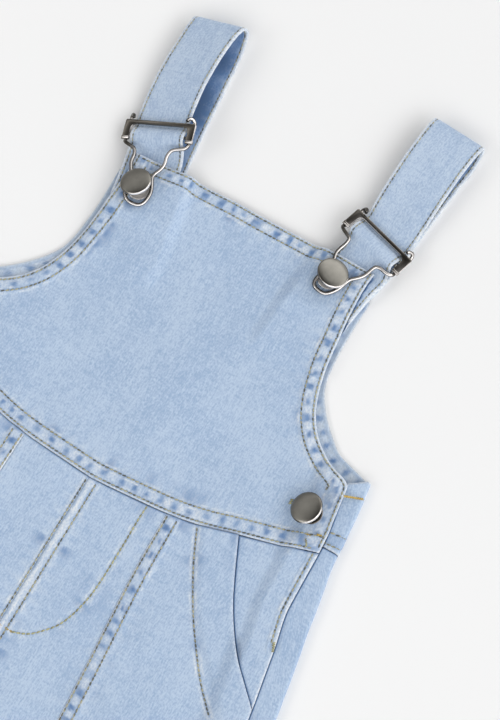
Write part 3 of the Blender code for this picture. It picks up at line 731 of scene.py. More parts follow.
def sewn(x, y, seams):
    """Relief, wear and depth of colour that seams give the cloth at its points."""
    relief = np.zeros(np.shape(x))
    worn = np.zeros(np.shape(x))
    deep = np.zeros(np.shape(x))
    for one in seams:
        d, s = beside(one["line"], x, y)
        band = one["band"]
        seed = one["seed"]
        on = ramp(d - band, 0.0012)
        beyond = np.clip(d - band, 0, None)
        relief += one["rise"] * on
        if one["fold"]:
            relief -= 0.0006 * np.clip(1 - d / 0.0010, 0, 1) ** 2
            uneven = 0.85 + 0.3 * noise(s, d, 0.004, seed)
            worn = np.maximum(worn, one["fold"] * uneven * ramp(d - 0.0003, 0.0011))
        for row in one["rows"]:
            hollow = bell(d - row, 0.0008)
            relief -= 0.00035 * hollow
            deep = np.maximum(deep, 0.35 * hollow)
            crest = bell(np.abs(d - row) - 0.0014, 0.0007)
            worn = np.maximum(worn, crest * np.clip(0.35 + 0.65 * noise(s, d, 0.0026, seed + 7), 0, 1))
        if len(one["rows"]) > 1:
            middle = (one["rows"][0] + one["rows"][-1]) / 2
            half = (one["rows"][-1] - one["rows"][0]) / 2
            inside = np.clip(1 - ((d - middle) / half) ** 2, 0, 1)
            slant = s + 0.7 * d + 0.0016 * noise(s, d, 0.013, seed + 1)
            ripple = np.sin(2 * math.pi * slant / 0.0052 + 1.6 * noise(s, d, 0.009, seed + 2))
            strength = one["rope"] * inside * (0.65 + 0.5 * noise(s, d * 0, 0.018, seed + 3))
            relief += 0.00038 * strength * ripple
            tuck = np.sin(2 * math.pi * (s + 0.004 * noise(s, 0 * d, 0.017, seed + 8)) / 0.0084)
            patch = np.clip(1.5 * tuck + 1.1 * noise(s, d, 0.0040, seed + 4) - 0.35, 0, 1)
            deep = np.maximum(deep, one["rope"] * inside ** 0.5 * (0.12 + 0.88 * patch))
            worn = np.maximum(worn, 0.75 * strength * np.clip(0.4 - tuck, 0, 1))
        fringe = np.exp(-beyond / 0.0035) * (1 - on)
        pools = np.clip(2.6 * noise(s, 0.6 * d, 0.0075, seed + 9) - 1.00, 0, 1) * (beyond < 0.009)
        near = (1 - on) * np.clip(1.3 - beyond / 0.007, 0, 1)
        deep = np.maximum(deep, 0.75 * one["pucker"] * pools * near)
        ribs = np.sin(2 * math.pi * (s + 0.0014 * noise(s, d, 0.010, seed + 5)) / 0.0068)
        relief += 0.00026 * one["pucker"] * fringe * ribs * (0.6 + 0.6 * noise(s, d * 0, 0.02, seed + 6))
        worn = np.maximum(worn, 0.30 * one["pucker"] * fringe * np.clip(ribs + 0.3, 0, 1))
    return relief, worn, deep


def creased(x, y, rows):
    """Height of the listed creases."""
    high = np.zeros(np.shape(x))
    for k in range(len(rows["x1"])):
        start = np.array([rows["x1"][k], rows["y1"][k]])
        end = np.array([rows["x2"][k], rows["y2"][k]])
        step = end - start
        length = math.hypot(*step)
        t = ((x - start[0]) * step[0] + (y - start[1]) * step[1]) / length ** 2
        bow = 0.08 * length * (4 * t * (1 - t))
        off = ((x - start[0]) * step[1] - (y - start[1]) * step[0]) / length - bow
        ends = np.clip(1 - (2 * t - 1) ** 2, 0, None)
        high += rows["high"][k] * ends * bell(off, rows["wide"][k]) * (np.abs(2 * t - 1) < 1)
    return high


def rumple(x, y, seed):
    """Small uneven waves that lying cloth always keeps."""
    broad = noise(x, y, 0.034, seed) + 0.5 * noise(x, y, 0.017, seed + 1)
    fine = noise(x, y, 0.0075, seed + 2)
    return 0.00032 * broad + 0.00007 * fine


def row_spread(top, bottom, fine_to, fine, coarse):
    """Rows from the top down: close together to a height and wider apart below it."""
    upper = np.linspace(top, fine_to, max(2, round(abs(top - fine_to) / fine)))
    lower = np.linspace(fine_to, bottom, max(2, round(abs(fine_to - bottom) / coarse)))
    return np.concatenate([upper, lower[1:]])


# Meshes


def grid_mesh(name, columns, rows, keep=None):
    """A flat grid as a mesh, with the column and row number of each point."""
    shape = bmesh.new()
    bmesh.ops.create_grid(shape, x_segments=columns - 1, y_segments=rows - 1, size=0.5)
    if keep:
        outside = []
        for face in shape.faces:
            middle = face.calc_center_median()
            if not keep(int((middle.x + 0.5) * (columns - 1)), int((middle.y + 0.5) * (rows - 1))):
                outside.append(face)
        bmesh.ops.delete(shape, geom=outside, context="FACES")
    data = bpy.data.meshes.new(name)
    shape.to_mesh(data)
    shape.free()
    flat = np.empty(3 * len(data.vertices))
    data.vertices.foreach_get("co", flat)
    flat = flat.reshape(-1, 3)
    i = np.rint((flat[:, 0] + 0.5) * (columns - 1)).astype(int)
    j = np.rint((flat[:, 1] + 0.5) * (rows - 1)).astype(int)
    return data, i, j


def set_points(data, points):
    """Move a mesh's points, given in the tables' frame, to their place in the model."""
    placed = np.array(points, float)
    placed[:, 1] -= ORIGIN_UP
    data.vertices.foreach_set("co", placed.ravel())
    data.update()


def set_values(data, name, values):
    """Store one number for each point."""
    layer = data.attributes.new(name, "FLOAT", "POINT")
    layer.data.foreach_set("value", np.asarray(values, float))


def set_cloth_map(data, across, along):
    """A UV map in metres that follows the cloth's own width and length."""
    layer = data.uv_layers.new(name="cloth")
    corner = np.empty(len(data.loops), int)
    data.loops.foreach_get("vertex_index", corner)
    layer.data.foreach_set("uv", np.stack([across[corner], along[corner]], 1).ravel())


def show(name, data, material, nodes):
    """Put a finished mesh in the scene as a piece of the garment."""
    piece = bpy.data.objects.new(name, data)
    bpy.context.scene.collection.objects.link(piece)
    data.materials.append(material)
    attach(piece, "root")
    if nodes:
        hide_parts(*nodes)
    return piece


def cloth_piece(name, columns, rows, at, nodes, facing=1, thickness=CLOTH, keep=None):
    """A thin shell of cloth with its inner face and edges painted dark as shade: at(i, j) gives points, the
    cloth's own width and length, wear and depth of colour, which above 1 is painted shadow."""
    data, i, j = grid_mesh(name, columns, rows, keep)
    points, across, along, worn, deep = at(i, j)
    set_points(data, points)
    normals = np.empty(3 * len(data.polygons))
    data.polygons.foreach_get("normal", normals)
    if normals.reshape(-1, 3)[:, 2].sum() * facing < 0:
        data.flip_normals()
    set_cloth_map(data, across, along)
    set_values(data, "worn", worn)
    set_values(data, "deep", deep)
    data.shade_smooth()
    piece = show(name, data, outer_denim(), nodes)
    data.materials.append(inner_denim())
    # The rim's material paints shade along the cloth's edges
    data.materials.append(edge_denim())
    shell = piece.modifiers.new("shell", "SOLIDIFY")
    shell.thickness = thickness
    shell.offset = -1
    shell.material_offset = 1
    shell.material_offset_rim = 2
    return piece


def surface_of(*pieces):
    """The outer faces of pieces as one tree to drop sewing on, in the tables' frame."""
    points = []
    faces = []
    for piece in pieces:
        start = len(points)
        points.extend(vert.co + Vector((0, ORIGIN_UP, 0)) for vert in piece.data.vertices)
        faces.extend([start + k for k in face.vertices] for face in piece.data.polygons)
    return BVHTree.FromPolygons(points, faces)


# Materials


class Wire:
    """A socket of a material's nodes that takes part in plain arithmetic."""

    def __init__(self, tree, socket=None):
        self.tree = tree
        self.socket = socket

    def node(self, kind, settings=None, inputs=None, out=0):
        """Add a node: its settings first, then the values or links of its sockets."""
        made = self.tree.nodes.new(kind)
        for name, value in (settings or {}).items():
            setattr(made, name, value)
        for name, value in (inputs or {}).items():
            if isinstance(value, Wire):
                self.tree.links.new(value.socket, made.inputs[name])
            else:
                made.inputs[name].default_value = value
        return Wire(self.tree, made.outputs[out])

    def math(self, operation, first, second):
        return self.node("ShaderNodeMath", {"operation": operation}, {0: first, 1: second})

    def __add__(self, other):
        return self.math("ADD", self, other)

    def __radd__(self, other):
        return self.math("ADD", other, self)

    def __sub__(self, other):
        return self.math("SUBTRACT", self, other)

    def __rsub__(self, other):
        return self.math("SUBTRACT", other, self)

    def __mul__(self, other):
        return self.math("MULTIPLY", self, other)

    def __rmul__(self, other):
        return self.math("MULTIPLY", other, self)

    def clamped(self):
        """The value kept between 0 and 1."""
        return self.node("ShaderNodeClamp", None, {"Value": self})

    def mix(self, low, high):
        """Two colours mixed by this value."""
        colours = {0: self, 6: rgba(low), 7: rgba(high)}
        return self.node("ShaderNodeMix", {"data_type": "RGBA"}, colours, out=2)

    def bump(self, strength, distance):
        """A normal that follows this height."""
        return self.node("ShaderNodeBump", None,
                         {"Strength": strength, "Distance": distance, "Height": self})

    def stored(self, name):
        """A number that the piece's points store."""
        return self.node("ShaderNodeAttribute", {"attribute_name": name}, None, out=2)

    def clouds(self, scale, detail, roughness):
        """Noise that stays with the piece."""
        place = self.node("ShaderNodeTexCoord", None, None, out=3)
        return self.node("ShaderNodeTexNoise", None,
                         {"Vector": place, "Scale": scale, "Detail": detail, "Roughness": roughness})


def new_material(name):
    """An empty node material, its Principled shader and a wire to build with."""
    made = bpy.data.materials.new(name)
    made.use_nodes = True
    tree = made.node_tree
    return made, tree.nodes["Principled BSDF"], Wire(tree)


def rgba(colour):
    """A settings colour as four numbers; a colour that comes from nodes stays as it is."""
    return colour if isinstance(colour, Wire) else (*colour, 1.0)


def scaled(colour, share):
    """A settings colour made darker or lighter."""
    return tuple(share * part for part in colour)


def feed(shader, **sockets):
    """Link wires to the shader's sockets and set the others to their values."""
    for name, value in sockets.items():
        socket = shader.inputs[name.replace("_", " ")]
        if isinstance(value, Wire):
            value.tree.links.new(value.socket, socket)
        else:
            socket.default_value = value


def grain(wire, place, across, along, detail=2.0, turn=0.0):
    """Noise with so many hills to the metre across and along the cloth."""
    mapped = wire.node("ShaderNodeMapping", None,
                       {"Vector": place, "Rotation": (0, 0, turn), "Scale": (across, along, 1)})
    return wire.node("ShaderNodeTexNoise", {"noise_dimensions": "2D"},
                     {"Vector": mapped, "Scale": 1.0, "Detail": detail, "Roughness": 0.55})


def denim(name, light, middle, worn_share=1.0):
    """Washed twill: clouds, slubs along the warp, flecks of weave, worn folds, deep seams and painted shadow
    where deep is above 1.
    """
    known = bpy.data.materials.get(name)
    if known:
        return known
    cloth = bpy.context.scene.dungarees_denim
    made, shader, wire = new_material(name)
    place = wire.node("ShaderNodeUVMap", {"uv_map": "cloth"})
    clouds = grain(wire, place, 34, 24, 3.0)
    patches = grain(wire, place, 260, 190, 2.0)
    slubs = grain(wire, place, 1150, 60, 2.0)
    wefts = grain(wire, place, 80, 900, 1.0)
    twill = grain(wire, place, 1700, 420, 1.0, 0.9)
    flecks = grain(wire, place, 980, 800, 1.0)
    tone = (0.53 + (clouds - 0.5) * 1.0 + (patches - 0.5) * 0.8 + (slubs - 0.5) * (3.6 * cloth.slub)
            + (wefts - 0.5) * 0.6 + (twill - 0.5) * 1.5 + (flecks - 0.5) * 1.6).clamped()
    colour = tone.mix(middle, light)
    deep = wire.stored("deep")
    worn = wire.stored("worn")
    colour = (deep * (0.45 + patches * 0.8 + (flecks - 0.5) * 0.6)).clamped().mix(colour, cloth.deep)
    colour = (worn * (0.1 + flecks * 1.5) * worn_share).clamped().mix(colour, cloth.worn)
    # Painted shadow: where deep is above 1 the colour darkens further, towards a shadow colour
    colour = (deep - 1.0).clamped().mix(colour, scaled(cloth.deep, 0.28))
    height = twill * 0.8 + slubs * 0.5 + patches * 0.4
    feed(shader, Base_Color=colour, Normal=height.bump(0.7, cloth.weave), Roughness=0.92,
         Specular_IOR_Level=0.15, Sheen_Weight=0.12, Sheen_Roughness=0.6)
    return made


def thread(name, bright, dark):
    """Twisted thread in two strands."""
    known = bpy.data.materials.get(name)
    if known:
        return known
    made, shader, wire = new_material(name)
    strands = wire.clouds(420.0, 1.0, 0.5)
    share = ((strands - 0.5) * 5.0 + 0.55).clamped()
    feed(shader, Base_Color=share.mix(dark, bright), Normal=strands.bump(0.5, 0.0002), Roughness=0.6,
         Sheen_Weight=0.2)
    return made


def metal(name, colour, roughness, wear, bright=None):
    """Plated metal with faint clouds, fine scratches in its gloss and painted highlights where the stored
    shine is high.
    """
    known = bpy.data.materials.get(name)
    if known:
        return known
    made, shader, wire = new_material(name)
    clouds = wire.clouds(160.0, 3.0, 0.6)
    scratches = wire.clouds(1900.0, 2.0, 0.6)
    tint = ((clouds - 0.5) * wear + 0.5).clamped()
    body = tint.mix(scaled(colour, 0.72), scaled(colour, 1.25))
    metallic = 1.0
    if bright:
        # Painted highlight: the stored shine mixes in the bright colour and makes the metal less metallic
        # there
        highlighted = wire.stored("shine")
        body = highlighted.mix(body, bright)
        metallic = highlighted * -0.45 + 1.0
    feed(shader, Base_Color=body, Metallic=metallic, Roughness=clouds * 0.12 + (roughness - 0.06),
         Normal=scratches.bump(0.25, 0.00003))
    return made


def outer_denim():
    """The denim's right side."""
    cloth = bpy.context.scene.dungarees_denim
    return denim("light_denim", cloth.light, cloth.middle)


def inner_denim():
    """The denim's inner face, bluer and less worn."""
    cloth = bpy.context.scene.dungarees_denim
    return denim("inner_denim", cloth.inside, scaled(cloth.inside, 0.8), 0.6)


def edge_denim():
    """The cloth's thickness at its edges, painted dark as the shade along them."""
    cloth = bpy.context.scene.dungarees_denim
    return denim("edge_denim", scaled(cloth.deep, 0.75), scaled(cloth.deep, 0.5))


# Lines that seams follow


def bib_side_line(side, low, high):
    """Side edge of the bib between two rows, upwards."""
    rows = np.linspace(low, high, 60)
    x = curve(BIB_EDGE, "x", rows)
    return np.stack([side * x, bib_row(x, rows)], 1)


def bib_top_line():
    """Top edge of the bib, from left to right."""
    x = np.linspace(-BIB_TOP_HALF, BIB_TOP_HALF, 40)
    return np.stack([x, bib_top(x)], 1)


def bib_top(x):
    """y of the bib's top edge, which the hem's rows leave slightly wavy."""
    sag = 0.0036 * (1 - ramp(-x - 0.036, 0.034)) + 0.0008 * (1 - ramp(x - 0.050, 0.020))
    return BIB_TOP + GAP / 2 - sag + 0.0007 * noise(x, 0 * x, 0.017, 5) * (np.abs(x) < 0.071)


def waist_line():
    """The waist seam from left to right."""
    x = np.linspace(-BIB_EDGE["x"][0], BIB_EDGE["x"][0], 60)
    return np.stack([x, waist(x)], 1)


def panel_seam_line(side):
    """Seam between the middle and side panel, downwards."""
    y = np.linspace(0.006, LEG_HEM, 60)
    return np.stack([side * curve(PANEL_SEAM, "x", y), y], 1)


def pocket_line(side):
    """Pocket opening, downwards."""
    y = np.linspace(0.0131, POCKET_CORNER, 40)
    return np.stack([side * curve(POCKET_EDGE, "x", y), y], 1)


def side_line(side, top, bottom):
    """Side edge of the front, downwards."""
    y = np.linspace(top, bottom, 60)
    return np.stack([side * side_edge(y), y], 1)


def centre_line():
    """Ridge of the centre seam, downwards."""
    y = np.linspace(0.001, CROTCH, 12)
    return np.stack([0 * y + RIDGE, y], 1)


def inseam_line(side):
    """Inner leg seam, downwards."""
    y = np.linspace(CROTCH, LEG_HEM, 40)
    return np.stack([side * curve(INSEAM, "x", y), y], 1)


def hem_line(side):
    """Leg hem, outwards."""
    x = np.linspace(0.020, 0.144, 12)
    return np.stack([side * x, 0 * x + LEG_HEM], 1)


# Pieces of the front


def front_bib():
    """The bib with its hems, waist band, creases and puckers."""
    columns = 224
    rows = np.linspace(WAIST_SIDE, BIB_TOP, 170)
    seams = [seam(bib_top_line(), BIB_HEM_ROWS, BIB_HEM_BAND, 11),
             seam(waist_line(), WAIST_ROWS, WAIST_BAND, 21)]
    for side, seed in ((-1, 31), (1, 41)):
        seams.append(seam(bib_side_line(side, BIB_ARM, BIB_TOP), BIB_HEM_ROWS, BIB_HEM_BAND, seed))
        seams.append(seam(bib_side_line(side, WAIST_SIDE, BIB_HIP), (0.0017, 0.0080), BIB_HEM_BAND, seed + 5,
                          rope=0.8))

    def at(i, j):
        row = rows[j]
        half = curve(BIB_EDGE, "x", row)
        x = (2 * i / (columns - 1) - 1) * half
        y = bib_row(x, row)
        y = y + (bib_top(x) - BIB_TOP - GAP / 2) * ramp(BIB_TOP - row - 0.006, 0.014)
        relief, worn, deep = sewn(x, y, seams)
        calm = np.clip(np.minimum(half - np.abs(x), BIB_TOP - row) / 0.02, 0.25, 1)
        z = first_level(x, y) + CLOTH + relief + (creased(x, y, BIB_CREASES) + rumple(x, y, 3)) * calm
        return np.stack([x, y, z], 1), x, y, worn, deep

    piece = cloth_piece("bib_cloth", columns, len(rows), at, ["front_bib"])
    return piece


def leg_panel(name, side, columns, rows, edges, level, seams, nodes, cover=None):
    """A front panel of one leg between two edges, over what it lies on. It is painted with shadow beside a
    covering edge and with shade under the waist seam."""

    def edge_x(edge, row):
        x = edge(row)
        for _ in range(6):
            x = edge(leg_row(x, row))
        return x

    def at(i, j):
        row = rows[j]
        inner = edge_x(edges[0], row)
        outer = edge_x(edges[1], row)
        x = inner + i / (columns - 1) * (outer - inner)
        y = leg_row(x, row)
        relief, worn, deep = sewn(side * x, y, seams)
        # Painted shade under the bib's hem along the waist seam
        shade = ramp(waist(x) - y - 0.0003, 0.0011)
        deep = np.maximum(deep, 0.9 * shade)
        # Painted shadow line beside the covering edge
        if cover is not None:
            deep = np.maximum(deep, 1.8 * ramp(beside(cover, side * x, y)[0] - 0.0004, 0.0007))
        calm = np.clip(np.minimum(x - inner, outer - x) / 0.015, 0.3, 1)
        shape = creased(side * x, y, LEG_CREASES) + rumple(side * x, y, 7)
        z = level(side * x, y) + CLOTH + relief + shape * calm
        return np.stack([side * x, y, z], 1), side * x, y, worn * (1 - shade), deep

    piece = cloth_piece(name, columns, len(rows), at, nodes)
    return piece


def leg_rows():
    """Rows of a leg's front, close where the camera looks."""
    return row_spread(0.0, LEG_HEM, FINE_TO, 0.0011, 0.0033)


def front_centre(side, word):
    """A middle panel with the fly's curved row, the centre seam's ridge and the hem."""
    seams = [puckers(waist_line(), 0.9, 51),
             puckers(panel_seam_line(side), 0.8, 53),
             puckers(inseam_line(side), 0.6, 55),
             seam(hem_line(side), (LEG_HEM_ROW,), LEG_HEM_BAND, 57, pucker=0.8),
             seam(centre_line(), (0.0029,), 0.0040, 59, rise=0.0003, fold=0.0, pucker=1.1)]
    if side > 0:
        seams.append(puckers(line_of(FLY_ROW), 0.6, 61, rows=(0.0,)))
        seams.append(seam(centre_line(), (), 0.0, 63, rise=0.0005, pucker=0.0))

    def near(y):
        return inner_edge(side, y)

    def far(y):
        return curve(PANEL_SEAM, "x", y) - HAIR

    return leg_panel("front_centre_cloth_" + word, side, 46, leg_rows(), (near, far), first_level, seams,
                     ["front_centre_" + word])


def front_side(side, word):
    """A side panel with the raised panel seam, the pocket's bag row and its open edge."""
    seams = [puckers(waist_line(), 0.9, 71),
             seam(panel_seam_line(side), PANEL_ROWS, PANEL_BAND, 73, rope=1.1),
             seam(pocket_line(side), (), 0.0, 75, rise=0.0002, fold=0.5, pucker=0.3),
             seam(side_line(side, POCKET_CORNER, LEG_HEM), (), 0.0, 77, rise=0.0, fold=0.6, pucker=0.7),
             puckers(line_of(POCKET_BAG_ROW) * (side, 1), 0.7, 79, rows=(0.0,)),
             seam(hem_line(side), (LEG_HEM_ROW,), LEG_HEM_BAND, 81, pucker=0.8)]

    def near(y):
        return curve(PANEL_SEAM, "x", y) + HAIR

    def far(y):
        return np.where(y > POCKET_CORNER, curve(POCKET_EDGE, "x", y), side_edge(y))

    return leg_panel("front_side_cloth_" + word, side, 60, leg_rows(), (near, far), side_level, seams,
                     ["front_side_" + word])


def pocket_facing(side, word):
    """The cloth behind the pocket opening, with the open side edge's row."""
    seams = [puckers(waist_line(), 0.9, 91),
             seam(side_line(side, WAIST_SIDE, SIDE_OPENING_LOW), (SIDE_ROW,), 0.0040, 93, rise=0.0004,
                  pucker=0.5),
             seam(side_line(side, SIDE_OPENING_LOW, POCKET_CORNER), (), 0.0, 95, rise=0.0, pucker=0.6)]
    # The pocket edge is passed as the covering edge: painted shadow runs beside it
    return leg_panel("pocket_facing_cloth_" + word, side, 90, np.linspace(0.0, POCKET_BOTTOM, 72),
                     (facing_edge, side_edge), first_level, seams, ["pocket_facing_" + word],
                     pocket_line(side))


# Pieces of the back

# Columns round the side fold, then those of the tuck: shares of the way to the front's edge, and
# distances inwards of that edge. From EDGE_STEP on, the wrap lies under the front and is painted dark as its
# shadow.
FOLD_STEPS = 12
TUCK_SHARES = (0.0, 0.35, 0.70)
TUCK_FROM_EDGE = (-0.0009, -0.0001, 0.0010, 0.0035, 0.0075, UNDERLAP)
TUCK_STEPS = len(TUCK_SHARES) + len(TUCK_FROM_EDGE) - 1
FLAP = FOLD_STEPS + TUCK_STEPS
EDGE_STEP = FOLD_STEPS + len(TUCK_SHARES) + 1
FLAT_STEPS = 2
ROW_WIDTH = 0.0009
# Value of deep that paints shadow under the front's edge and below the back waist seam
UNDER_SHADOW = 2.0


def fold_section(y, steps_in, drop, lift):
    """Points of the back's outer face round the side fold and back in under the front."""
    flat_end = back_fold(y)
    turn = math.pi * np.clip(steps_in / FOLD_STEPS, 0, 1)
    step = np.clip(steps_in - FOLD_STEPS, 0, TUCK_STEPS)
    seen = flat_end - side_edge(y)
    shares = np.array(TUCK_SHARES + (1.0,) * len(TUCK_FROM_EDGE))[step]
    inward = np.array((0.0,) * len(TUCK_SHARES) + TUCK_FROM_EDGE)[step]
    tuck = shares * seen + inward
    share = tuck / (seen + UNDERLAP)
    radius = WRAP_RADIUS + CLOTH / 2 + lift
    x = flat_end + radius * np.sin(turn) - tuck
    z = WRAP_RADIUS + CLOTH / 2 - radius * np.cos(turn)
    return x, y - share * drop, z, math.pi * WRAP_RADIUS * np.clip(steps_in / FOLD_STEPS, 0, 1) + tuck


def back_fold(y):
    """x where the back's flat part ends and its side fold begins."""
    return curve(OUTLINE, "x", y) - WRAP_RADIUS - CLOTH / 2


def back_seams():
    """Seams of the back's outer face."""
    across = np.stack([np.linspace(-0.131, 0.131, 20), np.full(20, BACK_WAIST)], 1)
    top = np.stack([np.linspace(-0.078, 0.078, 20), np.full(20, BACK_BIB_TOP)], 1)
    centre = np.stack([np.zeros(12), np.linspace(BACK_WAIST, CROTCH, 12)], 1)
    seams = [seam(across, WAIST_ROWS, WAIST_BAND, 101, rise=0),
             seam(top, BIB_HEM_ROWS, BIB_HEM_BAND, 103, rise=0),
             seam(centre, PANEL_ROWS, PANEL_BAND, 105, rise=0)]
    rows = np.linspace(ARMHOLE_LOW, BACK_BIB_TOP, 50)
    for side in (-1, 1):
        edge = np.stack([side * curve(BACK_BIB_EDGE, "x", rows), rows], 1)
        seams.append(seam(edge, BIB_HEM_ROWS, BIB_HEM_BAND, 107 + side, rise=0))
        seams.append(seam(inseam_line(side), (0.0012, 0.0070), 0.0078, 111 + side, rise=0))
        seams.append(seam(hem_line(side), (LEG_HEM_ROW,), LEG_HEM_BAND, 115 + side, rise=0))
    return seams


def resting(x, y, seams):
    """The outer face that lies on the floor: flat, hollow along its rows and creases."""
    relief, worn, deep = sewn(x, y, seams)
    hollow = np.clip(-relief, 0, 0.0004) + np.clip(0.6 * creased(x, y, BACK_CREASES), 0, 0.0004)
    return hollow, worn, deep


def back_bib():
    """The back bib with the wraps that come forward round the sides."""
    middle = 150
    columns = middle + 2 * FLAP
    armhole_row = 29
    rows = np.concatenate([np.linspace(BACK_WAIST + GAP / 2, ARMHOLE_LOW, armhole_row + 1),
                           ARMHOLE_LOW + (BACK_BIB_TOP - ARMHOLE_LOW) * np.linspace(0, 1, 60)[1:] ** 1.5])
    seams = back_seams()
    low_row, high_row = WRAP_WAIST_ROWS

    def at(i, j):
        y = rows[j]
        fold = back_fold(y)
        half = np.where(j <= armhole_row, fold, curve(BACK_BIB_EDGE, "x", y))
        x = (2 * (i - FLAP) / (middle - 1) - 1) * half
        z, worn, deep = resting(x, y, seams)
        out = np.maximum(FLAP - i, i - (columns - FLAP) + 1)
        turned = out > 0
        s = y - BACK_WAIST
        waist_rows = bell(s - low_row, ROW_WIDTH) + bell(s - high_row, ROW_WIDTH)
        hem = ARMHOLE_LOW - y
        hem_row = bell(hem - WRAP_HEM_ROW, ROW_WIDTH)
        lift = 0.0004 * (s < 0.0105) - 0.0003 * (waist_rows + hem_row)
        lift = lift + 0.0002 * noise(out * 0.001, y, 0.006, 121)
        side = np.where(i < FLAP, -1, 1)
        drop = WRAP_DROP * ramp(hem, 0.040)
        wx, wy, wz, arc = fold_section(y, out, drop, np.where(out > FLAT_STEPS, lift, 0))
        x = np.where(turned, side * wx, x)
        z = np.where(turned, wz, z)
        worn = np.where(turned, np.maximum(0.9 * ramp(s, 0.0012), 0.6 * ramp(hem, 0.0016)), worn)
        band = (s > low_row) & (s < high_row)
        patchy = np.clip(1.5 * noise(arc, y, 0.004, 123), 0, 1)
        deep = np.where(turned, np.where(band, 0.25 + 0.5 * patchy, 0.25 * waist_rows), deep)
        # Painted shadow where the wrap lies under the front
        deep = np.where(out >= EDGE_STEP, UNDER_SHADOW * (1 - ramp(hem - 0.003, 0.004)), deep)
        across = np.where(turned, side * (fold + arc), x)
        return np.stack([x, np.where(turned, wy, y), z], 1), across, y, worn, deep

    def keep(i, j):
        return FLAP <= i < columns - FLAP - 1 or j < armhole_row

    piece = cloth_piece("back_bib_cloth", columns, len(rows), at, ["back_bib"], -1, BACK_CLOTH,
                        keep)
    return piece


def back_leg(side, word):
    """The back of one leg with the wrap that comes forward round the side."""
    middle = 58
    columns = middle + FLAP
    rows = row_spread(BACK_WAIST - GAP / 2, LEG_HEM, FINE_TO, 0.0021, 0.0036)
    rows = np.insert(rows, 1, rows[0] - np.array([0.0005, 0.0011]))
    seams = back_seams()

    def at(i, j):
        y = rows[j]
        inner = curve(INSEAM, "x", y) + GAP / 2
        fold = back_fold(y)
        x = side * (inner + i / (middle - 1) * (fold - inner))
        z, worn, deep = resting(x, y, seams)
        out = i - middle + 1
        turned = out > 0
        s = BACK_WAIST - y
        hem = y - LEG_HEM
        lift = 0.0003 * noise(out * 0.001, y, 0.011, 131) + 0.0005 * (hem < LEG_HEM_BAND)
        lift = lift - 0.0003 * bell(hem - LEG_HEM_ROW, ROW_WIDTH)
        wx, _, wz, arc = fold_section(y, out, 0.0, np.where(out > FLAT_STEPS, lift, 0))
        x = np.where(turned, side * wx, x)
        z = np.where(turned, wz, z)
        # Painted shadow below the back waist seam's edge and where the wrap lies under the front
        shade = UNDER_SHADOW * ramp(s, 0.0010)
        deep = np.where(turned, np.where(out >= EDGE_STEP, UNDER_SHADOW, shade), deep)
        worn = np.where(turned, 0.5 * ramp(hem, 0.0012), worn)
        across = np.where(turned, side * (fold + arc), x)
        return np.stack([x, y, z], 1), across, y, worn, deep

    piece = cloth_piece("back_leg_cloth_" + word, columns, len(rows), at, ["back_leg_" + word], -1,
                        BACK_CLOTH)
    return piece


# Straps


def strap_path(side):
    """The strap's stations from its sewn end over the shoulder and through the buckle."""
    path = {name: list(values) for name, values in STRAP_ROWS[side].items()}
    row = FRAME_ROWS[side]
    for down, over in zip(STRAP_IN_FRAME["down"], STRAP_IN_FRAME["over"]):
        point = frame_point(side, FRAME_LENGTH / 2, down, over)
        station = (*point, row["turn"], row["tilt"], STRAP_HALF_IN_FRAME)
        for values, value in zip(path.values(), station):
            values.append(value)
    for name, values in TAIL_ROWS[side].items():
        path[name].extend(values)
    return path


def strap_frame(side, u):
    """Centre, width direction, normal and half width at stations u of a strap."""
    path = strap_path(side)

    def centre(at):
        return np.stack([curve(path, axis, at, None) for axis in "xyz"], -1)

    skew = np.radians(curve(path, "skew", u, None))
    roll = np.radians(curve(path, "roll", u, None))
    across = np.stack([np.cos(skew), np.sin(skew), np.tan(roll)], -1)
    across /= np.linalg.norm(across, axis=-1, keepdims=True)
    onward = centre(u + 0.08) - centre(u - 0.08)
    normal = -np.cross(across, onward)
    normal /= np.linalg.norm(normal, axis=-1, keepdims=True)
    return centre(u), across, normal, curve(path, "half", u, None)


def strap_stations(side, step):
    """Stations an even step apart along a strap, and how far along each lies."""
    last = len(strap_path(side)["x"]) - 1
    u = np.linspace(0, last, 900)
    middle = strap_frame(side, u)[0]
    length = np.concatenate([[0], np.cumsum(np.linalg.norm(np.diff(middle, axis=0), axis=1))])
    s = np.linspace(0, length[-1], round(length[-1] / step))
    return np.interp(s, length, u), s


# Steps across each face of a strap and round each of its edges
STRAP_FACE_STEPS = 28
STRAP_EDGE_STEPS = 6


